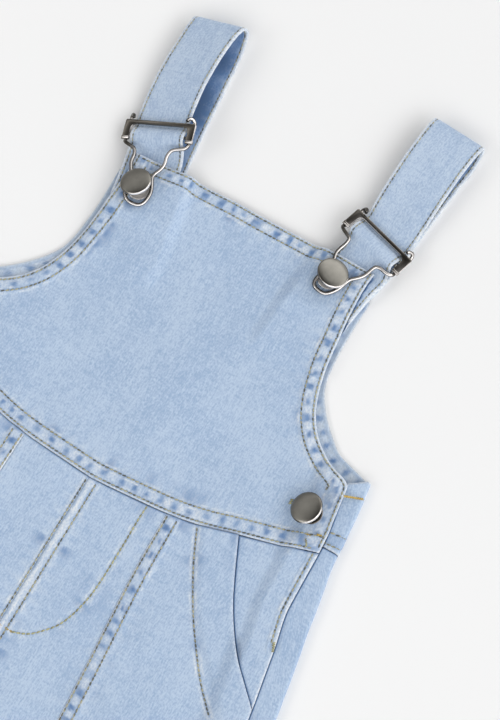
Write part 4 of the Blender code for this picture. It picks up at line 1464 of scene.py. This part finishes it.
def strap_cloth(side):
    """One strap: two layers sewn together along both edges."""
    u, s = strap_stations(side, 0.0011)
    centre, across, normal, half = strap_frame(side, u)
    face = STRAP_FACE_STEPS
    edge = STRAP_EDGE_STEPS
    around = 2 * (face + edge)
    data, i, j = grid_mesh("strap_cloth_" + side, around + 1, len(s))
    k = i % around
    parts = [k < face, k < face + edge, k < 2 * face + edge]
    share = np.select(parts, [2 * k / face - 1, 1, 1 - 2 * (k - face - edge) / face], -1)
    turned = np.select(parts, [0, (k - face) / edge, 1], 1 + (k - 2 * face - edge) / edge)
    angle = math.pi * turned
    round_edge = STRAP / 2
    run = half[j] - round_edge
    a = share * run
    from_edge = run - np.abs(a)
    seed = 201 if side == "left" else 205
    along = s[j]
    hollow = bell(from_edge - 0.0010, 0.0008)
    seen = np.cos(angle)
    roping = np.clip(1 - from_edge / 0.0065, 0, 1)
    ripple = np.sin(2 * math.pi * along / 0.0062 + 2.5 * noise(along, share, 0.010, seed))
    relief = -0.00025 * hollow + 0.00016 * ripple * roping + 0.00012 * noise(along, a, 0.009, seed + 1)
    sideways = a + np.sin(angle) * round_edge
    upwards = seen * (STRAP / 2 + relief)
    points = centre[j] + across[j] * sideways[:, None] + normal[j] * upwards[:, None]
    set_points(data, points)

    # Wear along the folded edges and on the outer face, deep patches beside the rows
    patches = np.clip(1.4 * noise(along, a + 3 * seen, 0.006, seed + 2) - 0.35, 0, 1)
    worn = np.where(np.abs(np.sin(angle)) > 0.1, 0.85,
                    0.10 * (seen > 0) + 0.20 * roping * np.clip(ripple, 0, 1))
    deep = np.clip(0.60 * patches * (0.25 + 0.75 * roping) + 0.30 * hollow, 0, 1)
    edge_wear = np.clip(1 - from_edge / 0.0016, 0, 1) * (0.75 + 0.3 * noise(along, a, 0.004, seed + 3))
    worn = np.maximum(worn, edge_wear)

    # The inner face is painted dark as the shade inside the strap's loop, darkest along its left edge
    inner = 2.10 - 0.60 * np.clip(a / run + 1, 0, 2) + 0.30 * noise(along, a, 0.012, seed + 4)
    deep = np.where(seen < -0.5, np.clip(inner - 1.8 * edge_wear, 0, 2.0), deep)

    # A painted shadow line where the strap comes out from behind the bib's side edge
    past_bib = np.abs(points[:, 0]) - curve(BIB_EDGE, "x", points[:, 1])
    behind = (points[:, 1] < bib_top(points[:, 0]) - 0.001) * (normal[j][:, 2] * seen > 0)
    shaded = ramp(np.abs(past_bib - 0.0001) - 0.0002, 0.0007) * behind
    deep = np.maximum(deep, 1.9 * shaded)
    worn = worn * (1 - shaded)
    set_cloth_map(data, sideways + 0.04 * (seen < 0), along)
    set_values(data, "worn", worn)
    set_values(data, "deep", deep)
    shape = bmesh.new()
    shape.from_mesh(data)
    bmesh.ops.remove_doubles(shape, verts=shape.verts, dist=0.000001)
    bmesh.ops.holes_fill(shape, edges=[one for one in shape.edges if one.is_boundary], sides=0)
    bmesh.ops.recalc_face_normals(shape, faces=shape.faces)
    if shape.calc_volume(signed=True) < 0:
        bmesh.ops.reverse_faces(shape, faces=shape.faces)
    shape.to_mesh(data)
    shape.free()
    data.shade_smooth()
    piece = show("strap_cloth_" + side, data, outer_denim(), ["strap_" + side])
    return piece


# Sewing

STITCHES_AT_ONCE = 24

# Shares of a stitch's width: its height, how far its ends lie aside and up, and how far it lies clear
STITCH_RISE = 0.36
SLANT = 0.16
TIP = 0.10
CLEAR = 0.12

LEAST_STEP = 0.0007


class Stitches:
    """A growing piece of sewing: stitches are made in small batches and joined."""

    def __init__(self):
        self.batch = bmesh.new()
        self.joined = bmesh.new()
        self.count = 0

    def add(self, start, end, up, width):
        """Add one rounded stitch between two points of a surface with normal up."""
        stitch_shape(self.batch, start, end, up, width)
        self.count += 1
        if self.count % STITCHES_AT_ONCE == 0:
            self.join()

    def join(self):
        """Move the batch into the whole."""
        data = bpy.data.meshes.new("batch")
        self.batch.to_mesh(data)
        self.joined.from_mesh(data)
        bpy.data.meshes.remove(data)
        self.batch.free()
        self.batch = bmesh.new()

    def finish(self, name, material):
        """Put the stitches in the scene as one piece."""
        self.join()
        self.batch.free()
        bmesh.ops.translate(self.joined, verts=self.joined.verts, vec=(0, -ORIGIN_UP, 0))
        data = bpy.data.meshes.new(name)
        self.joined.to_mesh(data)
        self.joined.free()
        data.shade_smooth()
        return show(name, data, material, [])


def stitch_shape(shape, start, end, up, width):
    """Add one rounded stitch between two points that lies on a surface with normal up."""
    onward = end - start
    length = onward.length
    onward.normalize()
    across = onward.cross(up).normalized()
    rise = across.cross(onward)
    axes = Matrix((across * width / 2, onward * length / 2, rise * width * STITCH_RISE)).transposed()
    bmesh.ops.create_uvsphere(shape, u_segments=6, v_segments=4, radius=1.0,
                              matrix=Matrix.Translation((start + end) / 2) @ axes.to_4x4())


def lay_row(stitches, points, normals, width, pitch):
    """Stitches one after another along points of a surface."""
    step = np.linalg.norm(np.diff(points, axis=0), axis=1)
    s = np.concatenate([[0], np.cumsum(step)])
    count = int(s[-1] / pitch)

    def on(values, at):
        return Vector([np.interp(at, s, values[:, axis]) for axis in range(3)])

    for k in range(count):
        first, last = np.array([k + 0.02, k + 1.02]) * s[-1] / count
        start = on(points, first)
        end = on(points, last)
        up = on(normals, (first + last) / 2).normalized()
        across = up.cross((end - start).normalized())
        lean = across * SLANT * width + up * TIP * width
        lift = up * width * CLEAR
        stitches.add(start + lift - lean, end + lift + lean, up, width)


def drop_line(surface, line, up=1):
    """Where a plan line meets the first surface seen from above, or from below."""
    points = []
    normals = []
    last = None
    for x, y in line:
        if last is None or math.hypot(x - last[0], y - last[1]) > LEAST_STEP:
            found, normal, _, _ = surface.ray_cast(Vector((x, y, 0.1 * up)), Vector((0, 0, -up)))
            if found:
                points.append(found)
                normals.append(normal if normal.z * up > 0 else -normal)
                last = (x, y)
    return np.array(points), np.array(normals)


def denser(line, step=0.0012):
    """A line with points an even step apart."""
    length = np.concatenate([[0], np.cumsum(np.hypot(*np.diff(line, axis=0).T))])
    s = np.linspace(0, length[-1], max(2, round(length[-1] / step)))
    return np.stack([np.interp(s, length, line[:, 0]), np.interp(s, length, line[:, 1])], 1)


def thread_piece(name, rows, surface, material, up=1, pitch_share=1.0):
    """One piece with all the stitches of like rows."""
    setup = bpy.context.scene.dungarees_sewing
    stitches = Stitches()
    for line in rows:
        points, normals = drop_line(surface, denser(np.asarray(line, float)), up)
        if len(points) > 2:
            lay_row(stitches, points, normals, setup.width, setup.pitch * pitch_share)
    return stitches.finish(name, material)


# Bartacks: distance and width of their stitches, lean of each and its height over the cloth
BAR_PITCH = 0.00055
BAR_STITCH = 0.0007
BAR_LEAN = 0.0004
BAR_LIFT = 0.0002


def bartack(stitches, surface, start, end, width):
    """A dense bar of short stitches across a short line."""
    points, normals = drop_line(surface, denser(np.array([start, end], float), 0.0008))
    onward = Vector(points[-1] - points[0])
    count = max(4, round(onward.length / BAR_PITCH))
    for k in range(count):
        share = (k + 0.5) / count
        at = Vector(points[0]) + onward * share
        normal = Vector(normals[min(len(normals) - 1, int(share * len(normals)))])
        across = normal.cross(onward).normalized() * width / 2
        tilt = onward.normalized() * BAR_LEAN * (1 if k % 2 else -1)
        lift = normal * BAR_LIFT
        stitches.add(at - across - tilt + lift, at + across + tilt + lift, normal, BAR_STITCH)


def front_rows():
    """Rows of the front in tan thread."""
    rows = []
    top = bib_top_line()
    for off in BIB_HEM_ROWS:
        inside = np.abs(top[:, 0]) < 0.0722 - off
        rows.append(shifted(top, -off)[inside])
    near, far = BIB_HEM_ROWS
    for side in (-1, 1):
        arm = bib_side_line(side, BIB_ARM, BIB_TOP - near)
        rows.append(shifted(bib_side_line(side, WAIST_SIDE + 0.002, BIB_TOP - near), side * near))
        inner = shifted(arm, side * far)
        inner = inner[inner[:, 1] < BIB_TOP - far]
        hook = np.array([[side * 0.1080, 0.0555], [side * 0.1092, 0.0580]])
        rows.append(np.concatenate([hook, inner[inner[:, 1] > 0.0600]]))
        seam_line = panel_seam_line(side)
        for off in PANEL_ROWS:
            moved = denser(shifted(seam_line, side * off))
            rows.append(moved[moved[:, 1] < waist(moved[:, 0]) - 0.0008])
        rows.append(line_of(POCKET_BAG_ROW) * (side, 1))
        rows.append(shifted(side_line(side, 0.0235, -0.0270), -side * SIDE_ROW))
        hem = LEG_HEM + LEG_HEM_ROW
        rows.append(np.array([[side * 0.024, hem], [side * 0.142, hem]]))
        for off in WRAP_WAIST_ROWS:
            height = BACK_WAIST + off
            rows.append(np.array([[side * 0.1208, height - 0.001], [side * 0.1298, height]]))
    for x in (RIDGE - 0.0030, RIDGE + 0.0027):
        rows.append(np.array([[x, -0.0005], [x, -0.142]]))
    for off in WAIST_ROWS:
        moved = shifted(waist_line(), off)
        rows.append(moved[np.abs(moved[:, 0]) < 0.1195])
    return rows


def back_rows(surface):
    """Rows of the back: those beside its seams that lie on its cloth."""
    rows = []
    for one in back_seams():
        for off in one["rows"]:
            for by in (off, -off):
                moved = shifted(one["line"], by)
                middle = moved[len(moved) // 2]
                found, _, _, _ = surface.ray_cast(Vector((middle[0], middle[1], -0.1)), Vector((0, 0, 1)))
                if found and found.z < 0.001:
                    rows.append(moved)
    return rows


# Bartacks of one side, mirrored on the other: both ends and width
GOLD_BARS = (((0.1180, 0.0571), (0.1288, 0.0621), 0.0016),
             ((0.1112, 0.0301), (0.1135, 0.0309), 0.0015),
             ((0.1160, 0.0325), (0.1185, 0.0331), 0.0016))
STRAW_BARS = (((0.1121, 0.0278), (0.1143, 0.0246), 0.0011),
              ((0.0955, 0.0405), (0.0955, 0.0435), 0.0020),
              ((0.1245, -0.0265), (0.1262, -0.0310), 0.0020))


def sewing(cloth):
    """All the sewing that is dropped on the laid cloth."""
    setup = bpy.context.scene.dungarees_sewing
    tan = thread("tan_thread", setup.tan, setup.olive)
    gold = thread("gold_thread", setup.gold, scaled(setup.gold, 0.6))
    straw = thread("straw_thread", setup.straw, scaled(setup.straw, 0.5))
    surface = surface_of(*cloth)
    thread_piece("front_thread", front_rows(), surface, tan)
    thread_piece("straw_rows", [line_of(FLY_ROW)], surface, straw)
    bars = Stitches()
    eyelets = Stitches()
    for side in (-1, 1):
        for stitches, table_rows in ((bars, GOLD_BARS), (eyelets, STRAW_BARS)):
            for start, end, width in table_rows:
                bartack(stitches, surface, (side * start[0], start[1]), (side * end[0], end[1]), width)
    bartack(bars, surface, (0.0064, -0.0877), (-0.0048, -0.0873), 0.0014)
    bars.finish("gold_bartacks", gold)
    eyelets.finish("buttonhole_ends", straw)
    thread_piece("back_thread", back_rows(surface), surface, tan, up=-1, pitch_share=1.25)


def strap_sewing(side):
    """The rows along both edges of a strap, on both of its faces."""
    setup = bpy.context.scene.dungarees_sewing
    stitches = Stitches()
    u, _ = strap_stations(side, 0.0012)
    centre, across, normal, half = strap_frame(side, u)
    for face in (1, -1):
        for hand in (1, -1):
            aside = (hand * (half - STRAP_ROW))[:, None]
            points = centre + across * aside + normal * (face * (STRAP / 2 - 0.0002))
            lay_row(stitches, points, normal * face, setup.width * 0.8, setup.pitch)
    tan = thread("tan_thread", setup.tan, setup.olive)
    return stitches.finish("strap_thread_" + side, tan)


# Metal


def frame_axes(side):
    """Corner, bar direction, arm direction and normal of a buckle frame."""
    row = FRAME_ROWS[side]
    turn = math.radians(row["turn"])
    tilt = math.radians(row["tilt"])
    bar = Vector((math.cos(turn), math.sin(turn), math.tan(tilt))).normalized()
    arm = Vector((math.sin(turn), -math.cos(turn), 0))
    return Vector(row["corner"]), bar, arm, arm.cross(bar)


def frame_point(side, along, down, over):
    """A point given along a frame's bar, down its arms and over its middle plane."""
    corner, bar, arm, normal = frame_axes(side)
    return corner + bar * along + arm * down + normal * over


# Directions that the painted highlights of the metal pieces face
GLEAM = {"left": (0.80, 0.35, 0.48), "right": (0.45, -0.75, 0.48), "wire": (0.331, -0.370, 0.868),
         "cap": (0.72, -0.50, 0.48)}


def nickel(name="dark_nickel", share=1.0):
    """Polished dark nickel with painted highlights; the wires' own is darker."""
    setup = bpy.context.scene.dungarees_metal
    return metal(name, scaled(setup.nickel, share), 0.16, 0.8, setup.bright)


def paint_highlight(data, towards, low, high, least=0.0):
    """Store a painted highlight for each point: brightest where it faces one direction."""
    normals = np.empty(3 * len(data.vertices))
    data.vertices.foreach_get("normal", normals)
    facing = normals.reshape(-1, 3) @ np.array(towards)
    set_values(data, "shine", np.maximum(ramp(high - facing, high - low), least))


def finish_metal(name, shape, material, nodes):
    """Put a metal piece in the scene, its sharp corners kept."""
    bmesh.ops.translate(shape, verts=shape.verts, vec=(0, -ORIGIN_UP, 0))
    data = bpy.data.meshes.new(name)
    shape.to_mesh(data)
    shape.free()
    data.shade_smooth()
    data.set_sharp_from_angle(angle=math.radians(40))
    return show(name, data, material, nodes)


def buckle_frame(side):
    """Flat plate bent to a U, with filleted inner corners and a rolled foot on each arm."""
    half = [(0.0006, 0.0), (0.0001, 0.0005), (0.0, 0.0012), (0.0, FRAME_DEPTH), (ARM_WIDTH, FRAME_DEPTH)]
    for k in range(7):
        angle = math.radians(15 * k)
        half.append((ARM_WIDTH + 0.0002 + FRAME_FILLET * (1 - math.cos(angle)),
                     BAR_WIDTH + FRAME_FILLET * (1 - math.sin(angle))))
    outline = half + [(FRAME_LENGTH - u, v) for u, v in reversed(half)]
    shape = bmesh.new()
    verts = [shape.verts.new(frame_point(side, u, v, -FRAME_THICK / 2)) for u, v in outline]
    face = shape.faces.new(verts)
    extruded = bmesh.ops.extrude_face_region(shape, geom=[face])
    top = [item for item in extruded["geom"] if isinstance(item, bmesh.types.BMVert)]
    bmesh.ops.translate(shape, verts=top, vec=frame_axes(side)[3] * FRAME_THICK)
    rim = [one for one in shape.edges if len(one.link_faces) == 2
           and any(len(face.verts) > 4 for face in one.link_faces)]
    bmesh.ops.bevel(shape, geom=rim, offset=0.00030, affect="EDGES", segments=2, profile=0.5, material=-1)
    _, bar, arm, normal = frame_axes(side)
    lying = Matrix((arm, normal, bar)).transposed().to_4x4()
    for u in (ARM_WIDTH / 2, FRAME_LENGTH - ARM_WIDTH / 2):
        place = Matrix.Translation(frame_point(side, u, FRAME_DEPTH - 0.0002, -0.0002)) @ lying
        bmesh.ops.create_cone(shape, cap_ends=True, segments=20, radius1=FOOT_RADIUS, radius2=FOOT_RADIUS,
                              depth=ARM_WIDTH + 0.0002, matrix=place)
    bmesh.ops.recalc_face_normals(shape, faces=shape.faces)
    piece = finish_metal("buckle_plate_" + side, shape, nickel(), ["buckle_frame_" + side])
    # Painted highlights on the faces that turn towards the frame's GLEAM direction
    paint_highlight(piece.data, GLEAM[side], 0.55, 0.78)
    return piece


def buckle_hook(side):
    """The bent wire, its ends curled round the corners of the frame."""
    rows = HOOK_ROWS[side]
    stops = [Vector(stop) for stop in zip(rows["x"], rows["y"], rows["z"])]
    under = -FRAME_THICK / 2 - GAP - WIRE_RADIUS
    inset = ARM_WIDTH / 2
    curl = ((0.0030, -0.0006, 0.0022), (0.0026, -0.0020, 0.0016), (0.0012, -0.0030, 0.0002),
            (0.0002, -0.0020, -0.0014), (0.0, 0.0, under), (0.0, 0.0060, under), (0.0, 0.0105, under))
    start = [frame_point(side, inset + u, v, over) for u, v, over in curl]
    end = [frame_point(side, FRAME_LENGTH - inset - u, v, over) for u, v, over in reversed(curl)]
    stops = start + stops + end
    path = {axis: [getattr(stop, axis) for stop in stops] for axis in "xyz"}
    at = np.linspace(0, len(stops) - 1, 6 * len(stops))
    points = np.stack([curve(path, axis, at, None) for axis in "xyz"], 1)
    for _ in range(6):
        points[1:-1] = 0.25 * points[:-2] + 0.5 * points[1:-1] + 0.25 * points[2:]
    data = bpy.data.curves.new("hook_wire_" + side, "CURVE")
    data.dimensions = "3D"
    data.bevel_depth = WIRE_RADIUS + 0.0001
    data.bevel_resolution = 4
    data.use_fill_caps = True
    spline = data.splines.new("POLY")
    spline.points.add(len(points) - 1)
    for point, target in zip(spline.points, points):
        point.co = (target[0], target[1] - ORIGIN_UP, target[2], 1)
    spline.use_smooth = True
    bent = bpy.data.objects.new("bent_wire", data)
    skin = bpy.data.meshes.new_from_object(bent)
    bpy.data.objects.remove(bent)
    bpy.data.curves.remove(data)
    skin.name = "hook_wire_" + side
    skin.shade_smooth()
    # Painted highlight along the side of the wire that faces the GLEAM direction
    paint_highlight(skin, GLEAM["wire"], 0.72, 0.92)
    return show("hook_wire_" + side, skin, nickel("wire_nickel", 0.45), ["buckle_hook_" + side])


# Profiles of a button round its axis: radius and height. Those of the foot stand on the cloth,
# those of the cap hang on its underside.
BASE_PROFILE = ((0.0020, 0.0000), (0.0060, 0.0000), (0.0064, 0.0002), (0.0064, 0.0006), (0.0059, 0.0009),
                (0.0048, 0.0008), (0.0034, 0.0010), (0.0023, 0.0014))
CAP_PROFILE = ((0.0023, -0.0004), (0.0060, -0.0001), (0.0078, -0.0003), (0.0083, -0.0003), (0.0086, 0.0000),
               (0.00875, 0.0004), (0.00875, 0.0010), (0.0086, 0.0014), (0.0083, 0.0016), (0.0076, 0.00185),
               (0.0060, 0.0021), (0.0035, 0.0023), (0.0000, 0.0024))
RIM_FROM = 0.0082


def button(name):
    """A domed cap with a nickel rim on a shank and a pressed base; painted highlights brighten one side of
    the rim and the bib buttons' base.
    """
    settings = bpy.context.scene.dungarees_metal
    k = BUTTON_ROWS["name"].index(name)
    row = {column: values[k] for column, values in BUTTON_ROWS.items()}
    towards = math.radians(row["towards"])
    slant = math.tan(math.radians(row["lean"]))
    axis = Vector((slant * math.cos(towards), slant * math.sin(towards), 1)).normalized()
    under = Vector((row["x"], row["y"], row["under"]))
    foot = under - axis * (row["under"] - row["foot"]) / axis.z
    shape = bmesh.new()
    upright = Vector((0, 0, 1))
    profile = [(foot, upright, radius, height - 0.0002) for radius, height in BASE_PROFILE]
    profile += [(under, axis, radius, height) for radius, height in CAP_PROFILE[:-1]]
    before = None
    for middle, normal, radius, height in profile:
        turn = upright.rotation_difference(normal).to_matrix().to_4x4()
        place = Matrix.Translation(middle) @ turn @ Matrix.Translation((0, 0, height))
        made = bmesh.ops.create_circle(shape, segments=settings.sides, radius=radius, matrix=place)
        ring = list({edge for vert in made["verts"] for edge in vert.link_edges})
        if before:
            bmesh.ops.bridge_loops(shape, edges=before + ring)
        before = ring
    crown = shape.verts.new(under + axis * CAP_PROFILE[-1][1])
    for edge in before:
        shape.faces.new((edge.verts[0], edge.verts[1], crown))
    bmesh.ops.holes_fill(shape, edges=[edge for edge in shape.edges if edge.is_boundary], sides=0)
    bmesh.ops.recalc_face_normals(shape, faces=shape.faces)
    for face in shape.faces:
        away = face.calc_center_median() - under
        height = away.dot(axis)
        radius = (away - axis * height).length
        face.material_index = int(radius > RIM_FROM or height < -0.0005)
    cap = metal("gunmetal_cap", settings.cap, 0.30, 1.3)
    piece = finish_metal(name + "_metal", shape, cap, [name])
    piece.data.materials.append(nickel())
    heights = np.array([vert.co.z for vert in piece.data.vertices])
    base = heights < row["foot"] + 0.0010
    # Painted highlight on the rim's side facing the cap's GLEAM direction, and over the whole base of the
    # bib buttons
    paint_highlight(piece.data, GLEAM["cap"], 0.50, 0.80, (0.8 if name.startswith("bib") else 0.0) * base)
    return piece


# Stage


def aim(thing, target):
    """Turn a light or camera towards a point."""
    thing.rotation_euler = (Vector(target) - thing.location).to_track_quat("-Z", "Y").to_euler()


AIM = Vector((0.0382, 0.0537, 0.0))

# Light of the room from low down to straight above: height of the direction, share of the lamps'
ROOM = ((0.40, 0.36), (0.44, 1.0), (0.56, 1.0), (0.60, 0.45), (0.68, 0.45), (0.76, 0.25), (0.84, 0.21),
        (0.92, 0.036))

# Lamps: place, width and share of the key light's power
LAMPS = {"key": ((-1.05, -0.95, 1.05), 0.7, 1.0),
         "fill": ((1.20, -0.35, 1.20), 0.8, 0.6),
         "top": ((0.35, 1.30, 1.15), 0.8, 0.15)}


def lay_floor(stage):
    """The pale floor, a hair below the garment."""
    shape = bmesh.new()
    bmesh.ops.create_grid(shape, x_segments=1, y_segments=1, size=8.0,
                          matrix=Matrix.Translation((0, 0, -0.0002)))
    data = bpy.data.meshes.new("studio_floor")
    shape.to_mesh(data)
    shape.free()
    floor = bpy.data.objects.new("studio_floor", data)
    bpy.context.scene.collection.objects.link(floor)
    paper, shader, wire = new_material("floor_paper")
    speckled = wire.clouds(9.0, 1.0, 0.4).mix(stage.floor, scaled(stage.floor, 1.01))
    feed(shader, Base_Color=speckled, Roughness=0.85, Specular_IOR_Level=0.1)
    data.materials.append(paper)


def light_room(stage):
    """The room's light, darker low down, straight above and on the left, and three lamps."""
    world = bpy.data.worlds.new("studio")
    world.use_nodes = True
    sky = Wire(world.node_tree)

    def stepped(axis, start, end, low, high):
        where = sky.node("ShaderNodeSeparateXYZ", None, {0: sky.node("ShaderNodeTexCoord")}, axis)
        return sky.node("ShaderNodeMapRange", {"interpolation_type": "SMOOTHSTEP"},
                        {"Value": where, "From Min": start, "From Max": end, "To Min": low, "To Max": high})

    strength = stage.world * ROOM[0][1]
    for (start, first), (end, last) in zip(ROOM, ROOM[1:]):
        strength = strength * stepped(2, start, end, 1.0, last / first)
    strength = strength * stepped(0, -0.62, -0.05, stage.left, 1.0)
    feed(world.node_tree.nodes["Background"], Color=(1, 1, 1, 1), Strength=strength)
    bpy.context.scene.world = world
    for name, (place, width, share) in LAMPS.items():
        lamp = bpy.data.lights.new(name, "AREA")
        lamp.shape = "DISK"
        lamp.size = width
        lamp.energy = share * stage.key
        light = bpy.data.objects.new(name, lamp)
        light.location = place
        aim(light, AIM)
        bpy.context.scene.collection.objects.link(light)


def set_camera(stage):
    """The camera, looking down on the bib at a slant."""
    camera_data = bpy.data.cameras.new("camera")
    camera_data.lens = stage.lens
    camera_data.sensor_width = 36
    camera = bpy.data.objects.new("camera", camera_data)
    back = Vector((math.sin(stage.azimuth) * math.cos(stage.elevation),
                   -math.cos(stage.azimuth) * math.cos(stage.elevation), math.sin(stage.elevation)))
    camera.location = AIM + back * stage.distance
    aim(camera, AIM)
    bpy.context.scene.collection.objects.link(camera)
    bpy.context.scene.camera = camera
    bpy.context.scene.view_settings.view_transform = "Standard"


# Operators, panel and main

SIDES = ((-1, "left"), (1, "right"))

# The bib, the back bib, and on both sides the facing, the two front panels and the back of the leg
CLOTHS = 10


class DUNGAREES_OT_back(bpy.types.Operator):
    """Lay the back: the back bib with its wraps and both back legs."""

    bl_idname = "dungarees.back"
    bl_label = "Back"

    def execute(self, context):
        back_bib()
        for side, word in SIDES:
            back_leg(side, word)
        return {"FINISHED"}


class DUNGAREES_OT_front_legs(bpy.types.Operator):
    """Lay the front of the legs: pocket facings, side panels and middle panels."""

    bl_idname = "dungarees.front_legs"
    bl_label = "Front legs"

    def execute(self, context):
        for side, word in SIDES:
            pocket_facing(side, word)
            front_side(side, word)
            front_centre(side, word)
        return {"FINISHED"}


class DUNGAREES_OT_bib(bpy.types.Operator):
    """Lay the front bib."""

    bl_idname = "dungarees.bib"
    bl_label = "Front bib"

    def execute(self, context):
        front_bib()
        return {"FINISHED"}


class DUNGAREES_OT_straps(bpy.types.Operator):
    """Fold both straps through their buckles, with their sewing."""

    bl_idname = "dungarees.straps"
    bl_label = "Straps"

    def execute(self, context):
        for _, word in SIDES:
            strap_sewing(word)
            strap_cloth(word)
        return {"FINISHED"}


class DUNGAREES_OT_sewing(bpy.types.Operator):
    """Lay the rows of stitches and the bartacks on the cloth."""

    bl_idname = "dungarees.sewing"
    bl_label = "Sewing"

    def execute(self, context):
        cloth = [piece for piece in bpy.data.objects
                 if "_cloth" in piece.name and "strap" not in piece.name]
        if len(cloth) != CLOTHS:
            raise RuntimeError("the sewing needs the cloth pieces of the front and back")
        sewing(cloth)
        return {"FINISHED"}


class DUNGAREES_OT_buckles(bpy.types.Operator):
    """Make the buckle frames and hooks and finish the slide rods."""

    bl_idname = "dungarees.buckles"
    bl_label = "Buckles"

    def execute(self, context):
        for _, word in SIDES:
            buckle_frame(word)
            buckle_hook(word)
            rod = frame["nodes"]["buckle_slide_" + word]
            rod.data.materials.clear()
            rod.data.materials.append(nickel())
        return {"FINISHED"}


class DUNGAREES_OT_buttons(bpy.types.Operator):
    """Make the four buttons."""

    bl_idname = "dungarees.buttons"
    bl_label = "Buttons"

    def execute(self, context):
        for name in BUTTON_ROWS["name"]:
            button(name)
        return {"FINISHED"}


class DUNGAREES_OT_stage(bpy.types.Operator):
    """Set up the floor, the light and the camera."""

    bl_idname = "dungarees.stage"
    bl_label = "Stage"

    def execute(self, context):
        stage = context.scene.dungarees_stage
        lay_floor(stage)
        light_room(stage)
        set_camera(stage)
        return {"FINISHED"}


STEPS = (DUNGAREES_OT_stage, DUNGAREES_OT_back, DUNGAREES_OT_front_legs, DUNGAREES_OT_bib,
         DUNGAREES_OT_sewing, DUNGAREES_OT_straps, DUNGAREES_OT_buckles, DUNGAREES_OT_buttons)
SETTINGS = {"dungarees_denim": DenimSettings, "dungarees_sewing": SewingSettings,
            "dungarees_metal": MetalSettings, "dungarees_stage": StageSettings}


class DUNGAREES_PT_panel(bpy.types.Panel):
    """Settings and steps of the dungarees."""

    bl_label = "Dungarees"
    bl_idname = "DUNGAREES_PT_panel"
    bl_space_type = "VIEW_3D"
    bl_region_type = "UI"
    bl_category = "Dungarees"

    def draw(self, context):
        for name, group in SETTINGS.items():
            box = self.layout.box()
            for key in group.__annotations__:
                box.prop(getattr(context.scene, name), key)
        for step in STEPS:
            self.layout.operator(step.bl_idname)


CLASSES = (*SETTINGS.values(), *STEPS, DUNGAREES_PT_panel)


def register():
    for one in CLASSES:
        bpy.utils.register_class(one)
    for name, group in SETTINGS.items():
        setattr(bpy.types.Scene, name, PointerProperty(type=group))


def unregister():
    for name in SETTINGS:
        delattr(bpy.types.Scene, name)
    for one in reversed(CLASSES):
        bpy.utils.unregister_class(one)


def main():
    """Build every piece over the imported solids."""
    register()
    for step in STEPS:
        group, name = step.bl_idname.split(".")
        getattr(getattr(bpy.ops, group), name)()


if __name__ == "__main__":
    main()
